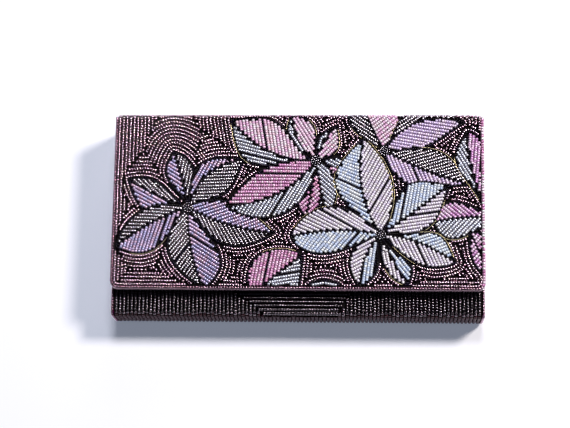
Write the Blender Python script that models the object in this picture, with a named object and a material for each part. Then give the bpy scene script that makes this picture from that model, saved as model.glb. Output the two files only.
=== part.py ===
"""Beaded flap clutch, lying on its back as it does on a table.

X runs along the clutch, +Y points to the folded top, and +Z points out of the front.
The origin is the middle of the back, on the surface that the clutch lies on.
The case is a beaded wrap with two end gussets. A stiffened spine closes its mouth, and the
flap hangs from the spine, folds over the front and is held by a magnetic snap.
"""

import math

import bmesh
import bpy
from mathutils import Matrix, Vector

# Overall sizes, over the beads
BODY_WIDTH = 0.2140
BODY_HEIGHT = 0.1180
COMPARTMENT_DEPTH = 0.0145
FRONT_REVEAL = 0.0142

# Layers of the walls, from the outside in
COVER_THICKNESS = 0.0024
FABRIC_THICKNESS = 0.0004
WADDING_THICKNESS = 0.0012
BOARD_THICKNESS = 0.0012
LINING_THICKNESS = 0.0005
LAYER_GAP = 0.0003

# Edges and folds
BOTTOM_RADIUS = 0.0045
HEM_RADIUS = 0.0050
EDGING_WIDTH = 0.0024
EDGE_ROUNDING = 0.0009
SHEET_ROUNDING = 0.00015
BOARD_SETBACK = 0.0025
MOUTH_CLEARANCE = 0.0010
GUSSET_CREASE = 0.0012
GUSSET_RIM = 0.0032
LINING_RADIUS = 0.0022
FACING_HEIGHT = 0.0040

# Slip pocket on the back lining
POCKET_WIDTH = 0.1100
POCKET_HEIGHT = 0.0680
POCKET_RISE = 0.0120
POCKET_EASE = 0.0010
POCKET_SEAM = 0.0020
BINDING_DEPTH = 0.0030
BINDING_THICKNESS = 0.0003
BINDING_EASE = 0.0001

# Magnetic snap
SNAP_RADIUS = 0.0070
SNAP_METAL = 0.0004
SNAP_PLAY = 0.0001
SNAP_BORE = 0.0026
SNAP_RIM_ROUNDING = 0.0006
MAGNET_HEIGHT = 0.0015
BEAD_CLEARING = 0.0006
STUD_RADIUS = 0.0020
STUD_TIP_ROUNDING = 0.0006
STUD_PLATE_THICKNESS = 0.0008
PRONG_OFFSET = 0.0032
PRONG_WIDTH = 0.0026
PRONG_REACH = 0.0024
WASHER_RADIUS = 0.0064
WASHER_HOLE = 0.0015
SNAP_ABOVE_HEM = 0.0180

# How finely the round stretches are divided
CORNER_STEPS = 6
ROUND_STEPS = 36
SLOPE_ROWS = 4

# Levels through the thickness, measured up from the table
back_board_low = COVER_THICKNESS + LAYER_GAP
back_lining_low = back_board_low + BOARD_THICKNESS + LAYER_GAP
back_lining_high = back_lining_low + LINING_THICKNESS
front_lining_low = back_lining_high + COMPARTMENT_DEPTH
front_lining_high = front_lining_low + LINING_THICKNESS
front_board_low = front_lining_high + LAYER_GAP
front_wadding_low = front_board_low + BOARD_THICKNESS + LAYER_GAP
front_cover_low = front_wadding_low + WADDING_THICKNESS + LAYER_GAP
front_face = front_cover_low + COVER_THICKNESS

# Levels of the snap, which sets how far the flap stands off the front
fabric_face = front_cover_low + FABRIC_THICKNESS
snap_plate_low = fabric_face + SNAP_PLAY
snap_plate_high = snap_plate_low + SNAP_METAL
magnet_low = snap_plate_high + SNAP_PLAY
magnet_high = magnet_low + MAGNET_HEIGHT
cap_inner_high = magnet_high + SNAP_PLAY
cap_high = cap_inner_high + SNAP_METAL
stud_plate_low = cap_high + LAYER_GAP
stud_plate_high = stud_plate_low + STUD_PLATE_THICKNESS

flap_lining_low = stud_plate_high + SNAP_PLAY
flap_board_low = flap_lining_low + LINING_THICKNESS + LAYER_GAP
flap_wadding_low = flap_board_low + BOARD_THICKNESS + LAYER_GAP
flap_cover_low = flap_wadding_low + WADDING_THICKNESS + LAYER_GAP
flap_face = flap_cover_low + COVER_THICKNESS

# Places along the height of the clutch
top_face = BODY_HEIGHT / 2
bottom_face = -BODY_HEIGHT / 2
fold_depth = COVER_THICKNESS + LAYER_GAP
fold_line = top_face - fold_depth
back_fold_level = fold_depth
top_fold_level = flap_face - fold_depth
spine_board_low = fold_line - BOARD_THICKNESS
spine_lining_high = spine_board_low - LAYER_GAP
spine_lining_low = spine_lining_high - LINING_THICKNESS
mouth = spine_lining_low - MOUTH_CLEARANCE
hem = bottom_face + FRONT_REVEAL
snap_height = hem + SNAP_ABOVE_HEM

# Places along the width of the clutch
side_face = BODY_WIDTH / 2
wrap_half = side_face - COVER_THICKNESS - LAYER_GAP
inner_half = wrap_half - GUSSET_CREASE
panel_half = side_face - EDGING_WIDTH - LAYER_GAP

# A cutter reaches this far past the wall that it cuts
CUT_OVERRUN = 0.0010


def clear_scene():
    for thing in list(bpy.data.objects):
        bpy.data.objects.remove(thing, do_unlink=True)


def make_material(piece_name, finish):
    """The material of one piece. A finish is its name, colour, roughness and metallic value."""
    finish_name, colour, roughness, metallic = finish
    made = bpy.data.materials.new(f"{finish_name} of {piece_name}")
    made.use_nodes = True
    shader = made.node_tree.nodes["Principled BSDF"]
    shader.inputs["Base Color"].default_value = (*colour, 1.0)
    shader.inputs["Roughness"].default_value = roughness
    shader.inputs["Metallic"].default_value = metallic
    return made


def make_hinge(name, place, parent=None):
    """An empty on a joint's axis. The pieces that turn there are parented to it."""
    hinge = bpy.data.objects.new(name, None)
    bpy.context.scene.collection.objects.link(hinge)
    hinge.parent = parent
    hinge.location = Vector(place) - (parent.matrix_world.translation if parent else Vector())
    bpy.context.view_layer.update()
    return hinge


def add_piece(name, shape, finish, hinge):
    """Puts a bmesh, drawn where it lies on the clutch, under the hinge that carries it."""
    origin = hinge.matrix_world.translation
    bmesh.ops.recalc_face_normals(shape, faces=shape.faces)
    shape.transform(Matrix.Translation(-origin))
    mesh = bpy.data.meshes.new(name)
    shape.to_mesh(mesh)
    shape.free()
    if finish:
        mesh.materials.append(make_material(name, finish))
    mesh.shade_smooth()
    mesh.set_sharp_from_angle(angle=math.radians(35))
    piece = bpy.data.objects.new(name, mesh)
    bpy.context.scene.collection.objects.link(piece)
    piece.parent = hinge
    return piece


def round_edges(piece, width, segments=2):
    """Softens every edge sharper than the facets of a round stretch."""
    bevel = piece.modifiers.new("Rounded edges", "BEVEL")
    bevel.width = width
    bevel.segments = segments
    bevel.limit_method = "ANGLE"
    bevel.angle_limit = math.radians(40)
    bevel.miter_outer = "MITER_ARC"
    return piece


def combine(piece, tool_name, tool_shape, operation):
    """Cuts a hidden tool from a piece, or joins it on. The tool lies under the same hinge."""
    tool = add_piece(f"{piece.name}_{tool_name}", tool_shape, None, piece.parent)
    tool.hide_render = True
    tool.display_type = "WIRE"
    step = piece.modifiers.new(tool_name, "BOOLEAN")
    step.operation = operation
    step.object = tool
    step.solver = "EXACT"


def arc(centre, radius, start, end, steps=CORNER_STEPS):
    """Points on an arc, from angle start to angle end in degrees."""
    turns = [math.radians(start + (end - start) * i / steps) for i in range(steps + 1)]
    return [(centre[0] + radius * math.cos(a), centre[1] + radius * math.sin(a)) for a in turns]


def rounded_rectangle(low, high, radii):
    """Outline of a rectangle. The radii are those of the corners, from low-low, anticlockwise."""
    corners = [(low[0], low[1]), (high[0], low[1]), (high[0], high[1]), (low[0], high[1])]
    inwards = [(1, 1), (-1, 1), (-1, -1), (1, -1)]
    outline = []
    for i, (corner, inward, radius) in enumerate(zip(corners, inwards, radii)):
        if radius <= 0:
            outline.append(corner)
            continue
        centre = (corner[0] + inward[0] * radius, corner[1] + inward[1] * radius)
        outline += arc(centre, radius, 180 + 90 * i, 270 + 90 * i)
    return outline


def prism(outline, place, low, high):
    """Extrudes a closed outline. place turns a point of the outline and a level into a corner."""
    shape = bmesh.new()
    bottom = [shape.verts.new(place(p, low)) for p in outline]
    top = [shape.verts.new(place(p, high)) for p in outline]
    shape.faces.new(bottom)
    shape.faces.new(top[::-1])
    for i in range(len(outline)):
        j = (i + 1) % len(outline)
        shape.faces.new((bottom[i], top[i], top[j], bottom[j]))
    return shape


def flat(point, level):
    return (point[0], point[1], level)


def across(point, level):
    """A point (y, z) of a section, at the place level along the clutch."""
    return (level, point[0], point[1])


def upright(point, level):
    """A point (x, z) of a section, at the height level."""
    return (point[0], level, point[1])


def block(low, high):
    outline = rounded_rectangle(low[:2], high[:2], (0, 0, 0, 0))
    return prism(outline, flat, low[2], high[2])


def stack(rings):
    """Closed skin through rings of points, each joined to the next and the last to the first."""
    shape = bmesh.new()
    rows = [[shape.verts.new(p) for p in ring] for ring in rings]
    for i, row in enumerate(rows):
        after = rows[(i + 1) % len(rows)]
        for j in range(len(row)):
            k = (j + 1) % len(row)
            shape.faces.new((row[j], row[k], after[k], after[j]))
    return shape


def turned_ring(profile, centre):
    """Turns a closed profile of (radius, level) points round the vertical through centre."""
    rings = []
    for radius, level in profile:
        circle = arc(centre, radius, 0, 360, ROUND_STEPS)[:-1]
        rings.append([(x, y, level) for x, y in circle])
    return stack(rings)


def turned_solid(profile, centre):
    """Turns a profile whose two ends are closed with flat faces."""
    shape = bmesh.new()
    rows = []
    for radius, level in profile:
        circle = arc(centre, radius, 0, 360, ROUND_STEPS)[:-1]
        rows.append([shape.verts.new((x, y, level)) for x, y in circle])
    for row, after in zip(rows, rows[1:]):
        for j in range(ROUND_STEPS):
            k = (j + 1) % ROUND_STEPS
            shape.faces.new((row[j], row[k], after[k], after[j]))
    shape.faces.new(rows[0][::-1])
    shape.faces.new(rows[-1])
    return shape


def wrap_section():
    """Section of the beaded wrap: up the back, round the bottom and up the front to the mouth."""
    inner_radius = BOTTOM_RADIUS - COVER_THICKNESS
    turn_in = bottom_face + BOTTOM_RADIUS
    back_turn = (turn_in, BOTTOM_RADIUS)
    front_turn = (turn_in, front_face - BOTTOM_RADIUS)
    lip = mouth + LAYER_GAP
    end = fold_line - LAYER_GAP
    outer = [(end, 0), (lip, 0)]
    outer += arc(back_turn, BOTTOM_RADIUS, 270, 180) + arc(front_turn, BOTTOM_RADIUS, 180, 90)
    inner = arc(front_turn, inner_radius, 90, 180) + arc(back_turn, inner_radius, 180, 270)
    inner += [(lip, COVER_THICKNESS), (end, COVER_THICKNESS)]
    return outer + [(mouth, front_face), (mouth, front_cover_low)] + inner


def make_wrap(finish, hinge):
    """The wrap. Past the mouth, its back reaches out as a lip over the tops of both gussets."""
    section = wrap_section()
    shape = bmesh.new()
    rows, lips = [], []
    for side in (-1, 1):
        row = [shape.verts.new(across(p, side * wrap_half)) for p in section]
        shape.faces.new(row[1:-1])
        lips.append(shape.faces.new((row[0], row[1], row[-2], row[-1])))
        rows.append(row)
    left, right = rows
    for i in range(len(section)):
        j = (i + 1) % len(section)
        shape.faces.new((left[i], left[j], right[j], right[i]))
    for side, lip in zip((-1, 1), lips):
        grown = bmesh.ops.extrude_face_region(shape, geom=[lip])["geom"]
        moved = [part for part in grown if isinstance(part, bmesh.types.BMVert)]
        bmesh.ops.translate(shape, verts=moved, vec=(side * (side_face - wrap_half), 0, 0))
        shape.faces.remove(lip)
    wrap = round_edges(add_piece("body_cover", shape, finish, hinge), EDGE_ROUNDING)
    clearing = SNAP_RADIUS + BEAD_CLEARING
    well = [(clearing, fabric_face), (clearing, front_face + CUT_OVERRUN)]
    combine(wrap, "bead_clearing", turned_solid(well, (0, snap_height)), "DIFFERENCE")
    cut_prong_slots(wrap, front_cover_low, fabric_face)


def make_gusset(name, side, finish, hinge):
    """An end gusset: flat at the bottom, and creased inwards more and more towards the mouth."""
    middle = front_face / 2
    heights = [bottom_face + BOTTOM_RADIUS * (1 - math.cos(math.radians(90 * i / CORNER_STEPS)))
               for i in range(CORNER_STEPS + 1)]
    slope_start = heights[-1]
    heights += [slope_start + (mouth - slope_start) * i / SLOPE_ROWS for i in range(1, SLOPE_ROWS + 1)]
    outer, inner = [], []
    for height in heights:
        drop = min(height - bottom_face, BOTTOM_RADIUS)
        inset = BOTTOM_RADIUS - math.sqrt(BOTTOM_RADIUS ** 2 - (BOTTOM_RADIUS - drop) ** 2)
        rim = max(inset, GUSSET_RIM)
        crease = GUSSET_CREASE * max(0, height - slope_start) / (mouth - slope_start)
        levels = (inset, (inset + rim) / 2, rim, middle)
        levels += (front_face - rim, front_face - (inset + rim) / 2, front_face - inset)
        depths = (0, 0, 0, crease, 0, 0, 0)
        outer.append([(side * (side_face - d), height, z) for z, d in zip(levels, depths)])
        face = side_face - COVER_THICKNESS
        inner.append([(side * (face - d), height, z) for z, d in zip(levels, depths)])
    shape = bmesh.new()
    sheets = [[[shape.verts.new(p) for p in row] for row in sheet] for sheet in (outer, inner)]
    for sheet in sheets:
        for row, after in zip(sheet, sheet[1:]):
            for j in range(len(row) - 1):
                shape.faces.new((row[j], row[j + 1], after[j + 1], after[j]))
    rims = [sheet[0] + [row[-1] for row in sheet[1:-1]] + sheet[-1][::-1]
            + [row[0] for row in sheet[-2:0:-1]] for sheet in sheets]
    for j in range(len(rims[0])):
        k = (j + 1) % len(rims[0])
        shape.faces.new((rims[0][j], rims[0][k], rims[1][k], rims[1][j]))
    bmesh.ops.remove_doubles(shape, verts=shape.verts, dist=LAYER_GAP / 100)
    round_edges(add_piece(name, shape, finish, hinge), EDGE_ROUNDING)


def make_lining_bag(finish, hinge):
    """The sewn lining: a deep satin cup. Its back wall rises past the mouth to the spine."""
    low = (-inner_half, back_lining_low)
    high = (inner_half, front_lining_high)
    floor = bottom_face + COVER_THICKNESS + LAYER_GAP + BOARD_THICKNESS + LAYER_GAP
    back_rise = spine_lining_low - LAYER_GAP - mouth

    def outline(inset):
        radius = LINING_RADIUS - inset
        corner_low = (low[0] + inset, low[1] + inset)
        corner_high = (high[0] - inset, high[1] - inset)
        return rounded_rectangle(corner_low, corner_high, (radius,) * 4)

    def rim_height(point):
        above = min(max(point[1] - back_lining_low, 0) / LINING_RADIUS, 1)
        return mouth + back_rise * (1 - above)

    shape = bmesh.new()
    outside, inside = outline(0), outline(LINING_THICKNESS)
    rows = [
        [(x, floor, z) for x, z in outside],
        [(x, rim_height(outside[i]), z) for i, (x, z) in enumerate(outside)],
        [(x, rim_height(outside[i]), z) for i, (x, z) in enumerate(inside)],
        [(x, floor + LINING_THICKNESS, z) for x, z in inside],
    ]
    rings = [[shape.verts.new(p) for p in row] for row in rows]
    for ring, after in zip(rings, rings[1:]):
        for j in range(len(ring)):
            k = (j + 1) % len(ring)
            shape.faces.new((ring[j], ring[k], after[k], after[j]))
    shape.faces.new(rings[0])
    shape.faces.new(rings[-1])
    add_piece("lining_bag", shape, finish, hinge)


def make_slip_pocket(finish, hinge):
    """A satin patch pocket, sewn to the back lining along three sides, with a bound mouth."""
    base = back_lining_high + LAYER_GAP
    sheet_low = base + POCKET_EASE
    sheet_high = sheet_low + LINING_THICKNESS
    floor = bottom_face + COVER_THICKNESS + BOARD_THICKNESS + LINING_THICKNESS + POCKET_RISE
    edge = floor + POCKET_HEIGHT
    half = POCKET_WIDTH / 2
    patch = add_piece("slip_pocket", block((-half, floor, base), (half, edge, sheet_high)), finish, hinge)
    round_edges(patch, SHEET_ROUNDING, 1)
    room_low = (-half + POCKET_SEAM, floor + POCKET_SEAM, base - CUT_OVERRUN)
    room_high = (half - POCKET_SEAM, edge + CUT_OVERRUN, sheet_low)
    combine(patch, "room", block(room_low, room_high), "DIFFERENCE")

    inner_low, inner_high = sheet_low - BINDING_EASE, sheet_high + BINDING_EASE
    inner_edge = edge + BINDING_EASE
    outer_low, outer_high = inner_low - BINDING_THICKNESS, inner_high + BINDING_THICKNESS
    outer_edge = inner_edge + BINDING_THICKNESS
    leg = edge - BINDING_DEPTH
    section = [(leg, outer_low), (outer_edge, outer_low), (outer_edge, outer_high), (leg, outer_high),
               (leg, inner_high), (inner_edge, inner_high), (inner_edge, inner_low), (leg, inner_low)]
    reach = half - POCKET_SEAM - LAYER_GAP
    add_piece("pocket_binding", prism(section, across, -reach, reach), finish, hinge)


def make_sheet(name, half_width, low, high, finish, hinge):
    """A flat sheet across the clutch. low and high are its (y, z) corners."""
    shape = block((-half_width, *low), (half_width, *high))
    return round_edges(add_piece(name, shape, finish, hinge), SHEET_ROUNDING, 1)


def make_case_stiffening(board, wadding, hinge):
    """The boards and the wadding of the case. They stop short of the wrap's round corners."""
    start = bottom_face + BOTTOM_RADIUS
    under = bottom_face + COVER_THICKNESS + LAYER_GAP
    back_end = fold_line - BOARD_SETBACK
    front_end = mouth - FACING_HEIGHT - LAYER_GAP
    back_high = back_board_low + BOARD_THICKNESS
    front_high = front_board_low + BOARD_THICKNESS
    wadding_high = front_wadding_low + WADDING_THICKNESS
    bottom_high = front_face - BOTTOM_RADIUS
    make_sheet("back_board", inner_half, (start, back_board_low), (back_end, back_high), board, hinge)
    make_sheet("front_board", inner_half, (start, front_board_low), (front_end, front_high), board, hinge)
    make_sheet(
        "bottom_board", inner_half, (under, BOTTOM_RADIUS), (under + BOARD_THICKNESS, bottom_high), board, hinge
    )
    soft = make_sheet(
        "front_wadding", inner_half, (start, front_wadding_low), (front_end, wadding_high), wadding, hinge
    )
    cut_washer_hole(soft, front_wadding_low)


def make_mouth_facing(finish, hinge):
    """A satin roll along the mouth. It caps the board and the wadding behind the beaded front."""
    low = (mouth - FACING_HEIGHT, front_board_low)
    high = (mouth, front_wadding_low + WADDING_THICKNESS)
    radius = (high[1] - low[1]) / 3
    section = rounded_rectangle(low, high, (0, radius, radius, 0))
    add_piece("mouth_facing", prism(section, across, -inner_half, inner_half), finish, hinge)


def make_fold(name, level, start, finish, hinge):
    """A quarter roll of beaded fabric round a fold line, flush with the covers on both sides."""
    centre = (fold_line, level)
    section = arc(centre, fold_depth, start, start + 90)
    section += arc(centre, LAYER_GAP, start + 90, start)
    add_piece(name, prism(section, across, -side_face, side_face), finish, hinge)


def make_spine(beads, board, satin, hinge):
    """The stiffened strip that closes the mouth, between the back fold and the top fold."""
    low, high = back_fold_level + LAYER_GAP, top_fold_level - LAYER_GAP
    cover = block((-panel_half, top_face - COVER_THICKNESS, low), (panel_half, top_face, high))
    add_piece("spine_cover", cover, beads, hinge)
    low, high = back_fold_level + BOARD_SETBACK, top_fold_level - BOARD_SETBACK
    make_sheet("spine_board", panel_half, (spine_board_low, low), (fold_line, high), board, hinge)
    low, high = back_lining_high + LAYER_GAP, flap_lining_low - LAYER_GAP
    lining = block((-panel_half, spine_lining_low, low), (panel_half, spine_lining_high, high))
    add_piece("spine_lining", lining, satin, hinge)
    for name, side in (("spine_edging_left", -1), ("spine_edging_right", 1)):
        make_spine_edging(name, side, beads, hinge)


def make_spine_edging(name, side, finish, hinge):
    """A beaded strip over one end of the spine, mitred where it meets the edging of the flap."""
    inner, outer = side * (side_face - EDGING_WIDTH), side * side_face
    xs = sorted((inner, outer))
    radius = min(EDGE_ROUNDING, EDGING_WIDTH / 3)
    radii = (0, radius, radius, 0) if side > 0 else (radius, 0, 0, radius)
    section = rounded_rectangle((xs[0], spine_lining_low), (xs[1], top_face), radii)

    def place(point, end):
        mitre = LAYER_GAP + max(0, fold_line - point[1])
        level = back_fold_level + mitre if end < 0 else top_fold_level - mitre
        return (point[0], point[1], level)

    section = split_at(section, 1, fold_line)
    add_piece(name, prism(section, place, -1, 1), finish, hinge)


def split_at(outline, axis, value):
    """Adds a point wherever the outline crosses the value along an axis, for a clean mitre."""
    split = []
    for start, end in zip(outline, outline[1:] + outline[:1]):
        split.append(start)
        if (start[axis] - value) * (end[axis] - value) < 0:
            share = (value - start[axis]) / (end[axis] - start[axis])
            split.append(tuple(a + (b - a) * share for a, b in zip(start, end)))
    return split


def flap_outline(inset, end):
    """Outline of a layer of the flap, inset from its outer edge, up to a given height."""
    radius = max(HEM_RADIUS - inset, 0)
    low = (-side_face + inset, hem + inset)
    return rounded_rectangle(low, (side_face - inset, end), (radius, radius, 0, 0))


def make_flap_edging(finish, hinge):
    """The beaded edging round three sides of the flap, carried along them as one strip."""
    radius = min(EDGE_ROUNDING, EDGING_WIDTH / 3)
    section = rounded_rectangle((0, flap_lining_low), (EDGING_WIDTH, flap_face), (radius, 0, 0, radius))
    section = split_at(section, 1, top_fold_level)
    shape = bmesh.new()
    rows = []
    for inset, level in section:
        mitre = LAYER_GAP + max(0, top_fold_level - level)
        leg = fold_line - mitre
        path = flap_outline(inset, leg)
        steps = len(path) - 2
        path = [path[-1]] + path[:steps] + [path[steps]]
        rows.append([shape.verts.new((x, y, level)) for x, y in path])
    for i, row in enumerate(rows):
        after = rows[(i + 1) % len(rows)]
        for j in range(len(row) - 1):
            shape.faces.new((row[j], row[j + 1], after[j + 1], after[j]))
    for end in (0, -1):
        shape.faces.new([row[end] for row in rows])
    add_piece("flap_edging", shape, finish, hinge)


def make_flap(beads, wadding, board, satin, hinge):
    """The flap: beaded cover, wadding, board and lining, laid up inside the edging."""
    inset = EDGING_WIDTH + LAYER_GAP
    face = prism(flap_outline(inset, fold_line - LAYER_GAP), flat, flap_cover_low, flap_face)
    add_piece("flap_cover", face, beads, hinge)
    make_flap_edging(beads, hinge)
    outline = flap_outline(inset, fold_line - BOARD_SETBACK)
    layers = (
        ("flap_wadding", wadding, flap_wadding_low, WADDING_THICKNESS),
        ("flap_board", board, flap_board_low, BOARD_THICKNESS),
        ("flap_lining", satin, flap_lining_low, LINING_THICKNESS),
    )
    for name, finish, level, thickness in layers:
        sheet = add_piece(name, prism(outline, flat, level, level + thickness), finish, hinge)
        if finish is wadding:
            cut_washer_hole(sheet, level)
        else:
            cut_prong_slots(sheet, level, level + thickness)


def cut_prong_slots(piece, low, high):
    """Two slits for the prongs of the snap, through a layer that lies between two levels."""
    for side, name in ((-1, "left_slit"), (1, "right_slit")):
        near, far = PRONG_OFFSET - SNAP_PLAY, PRONG_OFFSET + SNAP_METAL + SNAP_PLAY
        left, right = sorted((side * near, side * far))
        half = PRONG_WIDTH / 2 + SNAP_PLAY
        slit_low = (left, snap_height - half, low - CUT_OVERRUN / 2)
        slit_high = (right, snap_height + half, high + CUT_OVERRUN / 2)
        combine(piece, name, block(slit_low, slit_high), "DIFFERENCE")


def cut_washer_hole(piece, level):
    """A round hole through a layer of wadding, where a snap's washer lies."""
    radius = WASHER_RADIUS + BEAD_CLEARING
    hole = [(radius, level - CUT_OVERRUN), (radius, level + WADDING_THICKNESS + CUT_OVERRUN)]
    combine(piece, "washer_hole", turned_solid(hole, (0, snap_height)), "DIFFERENCE")


def add_prongs(piece, root, bend):
    """Joins two prongs to a snap plate. They rise from root and are bent outwards past bend."""
    up = 1 if bend > root else -1
    for side, name in ((-1, "left_prong"), (1, "right_prong")):
        near, far = side * PRONG_OFFSET, side * (PRONG_OFFSET + SNAP_METAL)
        tip = side * (PRONG_OFFSET + SNAP_METAL + PRONG_REACH)
        section = [(near, root), (far, root), (far, bend), (tip, bend),
                   (tip, bend + up * SNAP_METAL), (near, bend + up * SNAP_METAL)]
        half = PRONG_WIDTH / 2
        prong = prism(section, upright, snap_height - half, snap_height + half)
        combine(piece, name, prong, "UNION")


def make_washer(name, level, finish, hinge):
    """The backing washer that the prongs are bent over."""
    high = level + SNAP_METAL
    profile = [(WASHER_HOLE, level), (WASHER_RADIUS, level), (WASHER_RADIUS, high), (WASHER_HOLE, high)]
    washer = add_piece(name, turned_ring(profile, (0, snap_height)), finish, hinge)
    cut_prong_slots(washer, level, high)


def make_snap_socket(brass, magnet, steel, hinge):
    """The half on the front: a capped ring magnet on a plate with prongs, and its washer."""
    centre = (0, snap_height)
    inner = SNAP_RADIUS - SNAP_METAL
    bend = min(SNAP_RIM_ROUNDING, SNAP_RADIUS / 4)
    shoulder = arc((SNAP_RADIUS - bend, cap_high - bend), bend, 0, 90, CORNER_STEPS // 2)
    profile = [(inner, snap_plate_low), (SNAP_RADIUS, snap_plate_low)] + shoulder
    profile += [(SNAP_BORE, cap_high), (SNAP_BORE, cap_inner_high), (inner, cap_inner_high)]
    add_piece("snap_socket_cap", turned_ring(profile, centre), brass, hinge)
    ring = inner - SNAP_PLAY - bend
    bore = SNAP_BORE + SNAP_PLAY
    profile = [(bore, magnet_low), (ring, magnet_low), (ring, magnet_high), (bore, magnet_high)]
    add_piece("snap_magnet", turned_ring(profile, centre), magnet, hinge)
    rim = inner - SNAP_PLAY
    profile = [(rim, snap_plate_low), (rim, snap_plate_high)]
    plate = add_piece("snap_socket_plate", turned_solid(profile, centre), steel, hinge)
    washer_low = front_cover_low - SNAP_PLAY - SNAP_METAL
    add_prongs(plate, snap_plate_high - SNAP_METAL / 2, washer_low - SNAP_PLAY)
    make_washer("snap_socket_washer", washer_low, steel, hinge)


def make_snap_stud(brass, steel, hinge):
    """The half on the flap: a plate with a round stud that drops into the bore of the socket."""
    tip = magnet_low + LAYER_GAP
    bend = min(STUD_TIP_ROUNDING, STUD_RADIUS / 2)
    nose = arc((STUD_RADIUS - bend, tip + bend), bend, 270, 360, CORNER_STEPS // 2)
    profile = nose + [(STUD_RADIUS, stud_plate_low), (WASHER_RADIUS, stud_plate_low),
                      (WASHER_RADIUS, stud_plate_high)]
    stud = add_piece("snap_stud", turned_solid(profile, (0, snap_height)), brass, hinge)
    washer_low = flap_board_low + BOARD_THICKNESS + SNAP_PLAY
    bend_level = washer_low + SNAP_METAL + SNAP_PLAY
    add_prongs(stud, stud_plate_high - SNAP_METAL / 2, bend_level)
    make_washer("snap_stud_washer", washer_low, steel, hinge)


def build():
    clear_scene()
    beads = ("Beaded satin", (0.115, 0.060, 0.085), 0.30, 0.35)
    satin = ("Lining satin", (0.045, 0.030, 0.040), 0.35, 0.0)
    board = ("Grey board", (0.42, 0.40, 0.37), 0.90, 0.0)
    wadding = ("Cotton wadding", (0.80, 0.79, 0.75), 0.95, 0.0)
    brass = ("Plated brass", (0.62, 0.50, 0.30), 0.25, 1.0)
    steel = ("Plated steel", (0.55, 0.54, 0.52), 0.30, 1.0)
    magnet = ("Ring magnet", (0.12, 0.12, 0.13), 0.45, 0.8)

    case = make_hinge("case", (0, 0, 0))
    spine = make_hinge("spine_fold_axis", (0, fold_line, back_fold_level), case)
    flap = make_hinge("flap_fold_axis", (0, fold_line, top_fold_level), spine)

    make_wrap(beads, case)
    make_gusset("gusset_left", -1, beads, case)
    make_gusset("gusset_right", 1, beads, case)
    make_case_stiffening(board, wadding, case)
    make_mouth_facing(satin, case)
    make_lining_bag(satin, case)
    make_slip_pocket(satin, case)
    make_snap_socket(brass, magnet, steel, case)
    make_fold("back_fold", back_fold_level, 270, beads, case)

    make_spine(beads, board, satin, spine)
    make_fold("top_fold", top_fold_level, 0, beads, spine)

    make_flap(beads, wadding, board, satin, flap)
    make_snap_stud(brass, steel, flap)


build()
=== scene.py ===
import math
import bmesh
import bpy
import numpy as np
from mathutils import Matrix, Vector
from mathutils.kdtree import KDTree


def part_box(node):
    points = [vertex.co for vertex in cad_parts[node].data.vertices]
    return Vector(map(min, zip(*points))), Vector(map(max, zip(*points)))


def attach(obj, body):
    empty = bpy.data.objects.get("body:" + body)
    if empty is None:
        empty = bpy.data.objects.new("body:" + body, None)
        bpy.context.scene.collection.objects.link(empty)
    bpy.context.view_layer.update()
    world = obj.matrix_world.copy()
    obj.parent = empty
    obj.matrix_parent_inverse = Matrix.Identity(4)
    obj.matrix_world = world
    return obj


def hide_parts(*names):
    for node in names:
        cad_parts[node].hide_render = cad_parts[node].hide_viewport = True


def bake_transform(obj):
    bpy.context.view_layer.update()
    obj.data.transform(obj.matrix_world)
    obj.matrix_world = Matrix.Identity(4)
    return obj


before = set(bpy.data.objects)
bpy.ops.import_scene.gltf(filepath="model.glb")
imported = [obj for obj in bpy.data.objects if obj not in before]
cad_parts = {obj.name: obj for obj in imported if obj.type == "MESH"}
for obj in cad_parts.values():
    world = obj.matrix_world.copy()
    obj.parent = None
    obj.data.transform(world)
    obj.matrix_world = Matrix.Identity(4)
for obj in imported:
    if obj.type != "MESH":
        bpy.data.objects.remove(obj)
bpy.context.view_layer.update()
mm = 0.001

# The camera stands 0.95 m off, tipped a little towards the bottom edge and the right end
view = dict(
    target=(-7.87 * mm, 2.20 * mm, 20 * mm),
    distance=0.95,
    tip=0.2257, turn=0.0462, roll=-0.0147,  # radians
    focalLength=103.25, sensorWidth=36,
)

# A lamp's level is the share of full white that it gives the floor. Key and fill make the shadow's two steps,
# and the low window beyond the top edge lights the top fold and draws a second glint on each bead
studio = dict(
    lamps=dict(
        key=dict(towards=(0.75, 0.45, 1.0), distance=1.6, size=0.34, level=0.62, colour="#fff7f2"),
        fill=dict(towards=(0.02, 0.48, 1.0), distance=1.8, size=0.50, level=0.40, colour="#f0f4ff"),
        window=dict(towards=(0.1, 1.0, 0.42), distance=1.8, size=0.70, level=0.052, colour="#f6f4ff"),
    ),
    skyStrength=0.02, skyColour="#cdd9ff",
    floorSize=3.0, floorColour="#f9f9fc", floorGlow=0.26, glowColour="#dbe6ff",
)

beadSize = dict(width=2.08 * mm, length=1.50 * mm, sides=8)
beadShapes = dict(round=dict(endWidth=0.62, shoulder=0.32), barrel=dict(endWidth=0.80, shoulder=0.40))
roundLots = ("plum", "plumShade", "plumDeep", "plumEdge", "pinkEdge", "gunmetal")
rowPitch = 2.23 * mm
beadPitch = 1.59 * mm
pieceLimit = 3200  # beads in one piece
rng = np.random.default_rng(11)


def linear(hexColour):
    # sRGB hex to linear, channel by channel
    channels = [int(hexColour[i:i + 2], 16) / 255 for i in (1, 3, 5)]
    return (*(c / 12.92 if c <= 0.04045 else ((c + 0.055) / 1.055) ** 2.4 for c in channels), 1.0)


def feed(tree, node, inputs):
    # A socket of another node is linked to the input, anything else becomes its value
    for name, value in inputs.items():
        if isinstance(value, bpy.types.NodeSocket):
            tree.links.new(value, node.inputs[name])
        else:
            node.inputs[name].default_value = value
    return node


def addNode(tree, kind, inputs, **settings):
    node = tree.nodes.new("ShaderNode" + kind)
    for name, value in settings.items():
        setattr(node, name, value)
    return feed(tree, node, inputs)


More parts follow.
